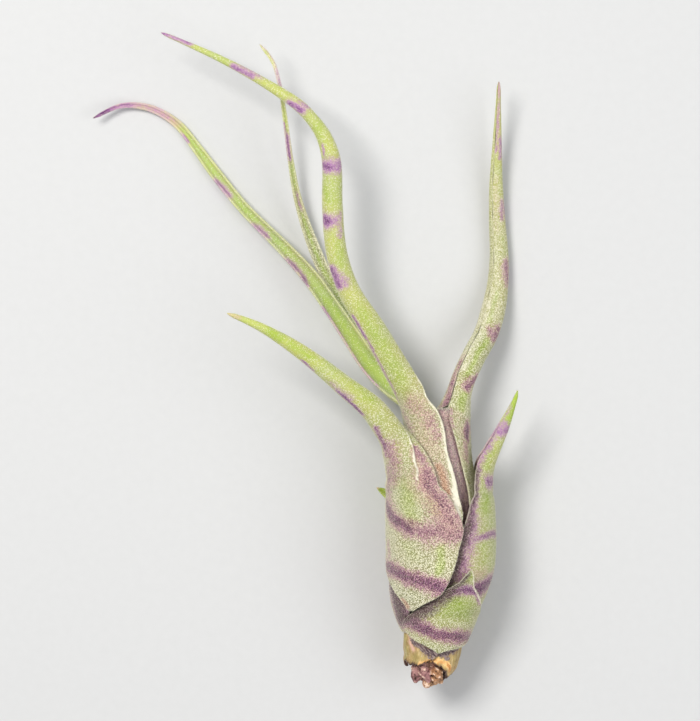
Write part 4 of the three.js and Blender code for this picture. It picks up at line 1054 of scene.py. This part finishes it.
def pale_floor():
    """A plain matt pale surface with the faintest grain."""
    material, place = new_material("pale_floor")
    colour = blend(noise(place, 400), *FLOOR)
    return finished(material, {"Base Color": colour, "Roughness": 0.9, "Specular IOR Level": 0.1})


# The pieces

LEAF_COAT = leaf_coat()
DRY_HUSK = dry_husk()
STEM_BARK = stem_bark()
LEAF_HAIR = leaf_hair()

# How pale the margin is, where it is less than 1, how wide, and over how many millimetres it fades
# before the tip of a blade. How far inside the margins a blade counts as inner skin, which is
# greener and has less frost. How far the painted shadow at the torn rim of a sheath reaches.
EDGE_SHARE = {"leaf_long_left": 0.35, "leaf_thin_back": 0.35, "leaf_tall_right": 0.6,
              "leaf_front_left": 0.6, "leaf_heart": 0.3}
EDGE_WIDTH = 0.16
EDGE_FADE = 26.0
INNER_DEPTH = 2.5
INNER_GREEN = 0.6
INNER_THAW = 0.35
RIM_REACH = 0.75
# Where a leaf's map starts and how long it is, how wide each face is on it and where the inner one
# starts.
MAP_START = 0.01
MAP_LENGTH = 0.98
MAP_WIDTH = 0.47
MAP_INNER = 0.52
# Wall, row spacing and columns of each leaf, the length of its drawn-out tip, and its frost of
# scales along it: pairs of place and strength.
LEAF_BUILD = {
    "leaf_short_front": (1.0, 0.30, 110, 0, [(0, 0.75), (12, 0.6), (20, 0.5), (28, 0.45)]),
    "leaf_short_back": (1.1, 0.50, 84, 1.5, [(0, 0.6), (30, 0.5), (48, 0.25)]),
    "leaf_right": (1.0, 0.45, 100, 1.5, [(0, 0.6), (25, 0.5), (50, 0.45), (60, 0.3), (70, 0.15)]),
    "leaf_front_left": (1.0, 0.50, 110, 2, [(0, 0.9), (30, 0.75), (45, 0.6), (65, 0.4), (107, 0.2)]),
    "leaf_tall_front": (1.0, 0.60, 84, 2, [(0, 0.8), (55, 0.75), (66, 0.5), (90, 0.38), (193, 0.25)]),
    "leaf_tall_right": (1.0, 0.60, 84, 2, [(0, 0.7), (60, 0.7), (110, 0.6), (135, 0.4), (153, 0.3)]),
    "leaf_long_left": (1.0, 0.70, 64, 2, [(0, 0.5), (70, 0.3), (110, 0.45), (140, 0.3), (185, 0.2)]),
    "leaf_thin_back": (1.0, 0.70, 56, 2, [(0, 0.6), (105, 0.8), (130, 0.4), (165, 0.2)]),
    "leaf_heart": (1.0, 0.50, 60, 0, [(0, 0.85), (39, 0.85)]),
    "old_sheath_left": (0.8, 0.22, 110, 0, [(0, 0.0), (10, 0.0)]),
    "old_sheath_right": (0.8, 0.22, 150, 0, [(0, 0.0), (12, 0.0)]),
}
# Outer face, inner face and distance from the margins of each leaf, for its hairs.
SHELLS = {}


def frond(name, seed):
    """A whole leaf: its closed shell on the grid, above the surface that the plant lies on, with
    the tints at each point. Its map has the outer face in the lower half, the inner in the upper."""
    wall, spacing, columns, tip, frosts = LEAF_BUILD[name]
    outer, inner, along, across = leaf_grid(row_table(name), spacing, columns, wall, tip, seed)
    low = 0.0
    outer, inner = shaped(name, outer, inner, along, across, seed)
    if name in TORN_RIMS:
        outer, inner, along, across, low = tear(outer, inner, along, across, TORN_RIMS[name], seed)
    points = np.concatenate([outer, inner]).reshape(-1, 3)
    points[:, 2] = np.maximum(points[:, 2], 0.0)
    width = girth(outer)
    margin = np.minimum(across, 1 - across) * width
    SHELLS[name] = (outer, inner, margin)
    length = along.max()
    edge = np.exp(-(margin / EDGE_WIDTH) ** 2) * EDGE_SHARE.get(name, 1.0)
    if tip:
        edge = edge * np.clip((length - along) / EDGE_FADE, 0, 1)
    frost = read(frosts, along)
    deep_in = np.clip(margin / INNER_DEPTH, 0, 1)
    tints = tints_of(name, outer, along, across, seed)
    tints.update(edge=edge, side=across * width, rim=np.exp(-(along - low) / RIM_REACH))
    values = {key: np.stack([value, value]) for key, value in tints.items()}
    values["frost"] = np.stack([frost, frost * (1.0 - INNER_THAW * deep_in)])
    values["inside"] = np.stack([0 * deep_in, INNER_GREEN * deep_in])
    maps = np.stack([np.concatenate([along, along]) / length * MAP_LENGTH + MAP_START,
                     np.concatenate([start + MAP_WIDTH * across for start in (MAP_START, MAP_INNER)])],
                    axis=-1)
    coat, slot_name = (DRY_HUSK, "dry_sheath") if name in TORN_RIMS else (LEAF_COAT, "leaf")
    make_piece(name + "_form", points, sheet_faces(*outer.shape[:2]), coat, (name,),
               values, maps.reshape(-1, 2))


# The bulb's outermost skin is found for levels of a millimetre and sectors of 4 degrees, from the
# foot of the bulb to its top. Skin is covered if it lies deeper than this below it.
BULB_FOOT = -92
BULB_TOP = -14
LEVELS = 80
SECTORS = 90
COVER_DEPTH = 0.5


def bulb_places(spots):
    """The level, the sector and the radius of points round the bulb's own line."""
    side = spots[..., 0] - np.interp(spots[..., 1], BULB_HEIGHTS, BULB_MIDDLES)
    rise = spots[..., 2] - AXIS_HEIGHT
    level = np.clip((spots[..., 1] - BULB_FOOT).astype(int), 0, LEVELS - 1)
    sector = (np.degrees(np.arctan2(rise, side)) % 360 / (360 / SECTORS)).astype(int) % SECTORS
    return level, sector, np.hypot(side, rise)


def covered(points):
    """True for points of the bulb that lie under its outermost skin."""
    reach = np.zeros((LEVELS, SECTORS))
    for outer, *_ in SHELLS.values():
        level, sector, radius = bulb_places(outer[outer[..., 1] < BULB_TOP])
        np.maximum.at(reach, (level, sector), radius)
    level, sector, radius = bulb_places(points)
    return (points[..., 1] < BULB_TOP) & (radius < reach[level, sector] - COVER_DEPTH)


# Hairs of each leaf: how many, their shares outside and inside, their length and radius, how far
# they reach out, along and anywhere, how deep they are rooted, how near the floor they go, and how
# many more there are near a margin.
HAIR_COUNTS = {"leaf_tall_front": 13000, "leaf_tall_right": 10000, "leaf_front_left": 12000,
               "leaf_long_left": 9000, "leaf_thin_back": 6500, "leaf_right": 8500,
               "leaf_short_front": 4500, "leaf_short_back": 3500, "leaf_heart": 1500}
OUTSIDE_SHARE = 0.8
INSIDE_SHARE = 0.2
HAIR_LENGTHS = (0.22, 0.5)
HAIR_RADIUS = 0.038
OUT_PART = 0.55
ALONG_PART = 0.65
RANDOM_PART = 0.25
ROOT_DEPTH = 0.03
LOWEST_ROOT = 0.25
MARGIN_GAIN = 3.0
MARGIN_REACH = 0.4
# Added to differences, so that none of them is exactly zero.
TINY = 1e-9


def hairs(name, count, seed):
    """Fine hairs of a leaf: slender closed pyramids on three corners, rooted at random places and
    leaning towards the tip. Inside a leaf they grow only above the bulb."""
    outer, inner, margin = SHELLS[name]
    rng = np.random.default_rng(seed)
    roots, ways = [], []
    for skin, other, part in ((outer, inner, OUTSIDE_SHARE), (inner, outer, INSIDE_SHARE)):
        spot = skin[:-1, :-1]
        down, aside = np.diff(skin, axis=0)[:, :-1], np.diff(skin, axis=1)[:-1]
        grow = unit(down + TINY)
        out = unit(np.cross(grow, unit(aside + TINY)))
        out = out * np.sign(((skin - other)[:-1, :-1] * out).sum(axis=-1, keepdims=True) + TINY)
        area = np.linalg.norm(down, axis=2) * np.linalg.norm(aside, axis=2)
        chance = area * (1 + MARGIN_GAIN * np.exp(-(margin[:-1, :-1] / MARGIN_REACH) ** 2))
        chance = chance * ~covered(spot) * (spot[..., 2] > LOWEST_ROOT)
        if skin is inner:
            chance = chance * (spot[..., 1] > BULB_TOP)
        if chance.sum() == 0:
            continue
        number = rng.choice(chance.size, int(count * part), p=(chance / chance.sum()).ravel())
        i, j = np.divmod(number, chance.shape[1])
        u, v = rng.random((2, len(number), 1))
        root = ((skin[i, j] * (1 - v) + skin[i, j + 1] * v) * (1 - u)
                + (skin[i + 1, j] * (1 - v) + skin[i + 1, j + 1] * v) * u)
        lean = OUT_PART * out[i, j] + ALONG_PART * grow[i, j]
        ways.append(unit(lean + RANDOM_PART * rng.normal(size=root.shape)))
        roots.append(root - ROOT_DEPTH * out[i, j])
    root, way = np.vstack(roots), np.vstack(ways)
    length = rng.uniform(*HAIR_LENGTHS, (len(root), 1))
    first = unit(np.cross(way, rng.normal(size=way.shape)))[:, None]
    second = np.cross(way, first[:, 0])[:, None]
    turns = np.radians([0, 120, 240])[None, :, None]
    ring = root[:, None] + HAIR_RADIUS * (first * np.cos(turns) + second * np.sin(turns))
    points = np.concatenate([ring, (root + way * length)[:, None]], axis=1)
    points[..., 2] = np.maximum(points[..., 2], 0.0)
    start = 4 * np.arange(len(root))[:, None, None]
    faces = start + np.array([[0, 1, 3], [1, 2, 3], [2, 0, 3], [2, 1, 0]])[None]
    make_piece(name + "_hairs", points.reshape(-1, 3), faces.reshape(-1, 3), LEAF_HAIR)


def stem_end(rows=130, columns=170, seed=5):
    """The woody stem end in place of its plain solid."""
    points, poles, values = stem_surface(rows, columns, seed)
    values = {key: np.append(value.ravel(), [value[0].mean(), value[-1].mean()])
              for key, value in values.items()}
    make_piece("stem_end_form", np.vstack([points.reshape(-1, 3), poles]),
               ball_faces(rows, columns), STEM_BARK, ("stem_stub",), values)


for number, leaf in enumerate(LEAF_BUILD):
    frond(leaf, 11 + number)
for number, leaf in enumerate(HAIR_COUNTS):
    hairs(leaf, HAIR_COUNTS[leaf], 51 + number)
stem_end()


# The floor, the light and the view

# Places and sizes here are metres. Each lamp has a name, a place, a size, a power and a colour.
FLOOR_REACH = 1.5
PLANT_MIDDLE = (0.01, 0.0, 0.01)
LAMPS = [("key", (-0.35, 0.30, 0.85), 0.35, 7.6, (1.0, 0.985, 0.96)),
         ("fill", (0.55, -0.10, 0.60), 0.6, 2.8, (0.97, 0.98, 1.0))]
VIEW_PLACE = (0.0124, -0.00015, 1.015)
VIEW_LENS = 181.6
VIEW_SENSOR = 36.0
SKY_COLOUR = (0.95, 0.97, 1.0, 1.0)
SKY_STRENGTH = 0.42


def placed(name, data, place=(0.0, 0.0, 0.0)):
    """An object of its own for a mesh, a lamp or a camera."""
    obj = bpy.data.objects.new(name, data)
    obj.location = place
    bpy.context.scene.collection.objects.link(obj)
    return obj


def sheet_of_floor():
    """A flat square at the height of zero."""
    mesh = bpy.data.meshes.new("floor")
    sides = ((-1, -1), (1, -1), (1, 1), (-1, 1))
    mesh.from_pydata([(x * FLOOR_REACH, y * FLOOR_REACH, 0) for x, y in sides], [], [(0, 1, 2, 3)])
    mesh.materials.append(pale_floor())
    placed("floor", mesh)


def soft_light(name, place, size, power, colour):
    """A square lamp that faces the middle of the plant."""
    lamp = bpy.data.lights.new(name, "AREA")
    lamp.size = size
    lamp.energy = power
    lamp.color = colour
    x, y, z = np.array(place) - np.array(PLANT_MIDDLE)
    placed(name, lamp, place).rotation_euler = (math.atan2(math.hypot(x, y), z), 0.0, math.atan2(x, -y))


def view_from_above():
    """The camera looks straight down from a metre above the plant."""
    data = bpy.data.cameras.new("view")
    data.lens = VIEW_LENS
    data.sensor_width = VIEW_SENSOR
    bpy.context.scene.camera = placed("view", data, VIEW_PLACE)


def studio():
    """Even light from all round, and plain colours in the picture."""
    world = bpy.data.worlds.new("studio")
    world.use_nodes = True
    connect(world.node_tree.nodes["Background"], {"Color": SKY_COLOUR, "Strength": SKY_STRENGTH})
    bpy.context.scene.world = world
    bpy.context.scene.view_settings.view_transform = "Standard"


sheet_of_floor()
for lamp in LAMPS:
    soft_light(*lamp)
view_from_above()
studio()
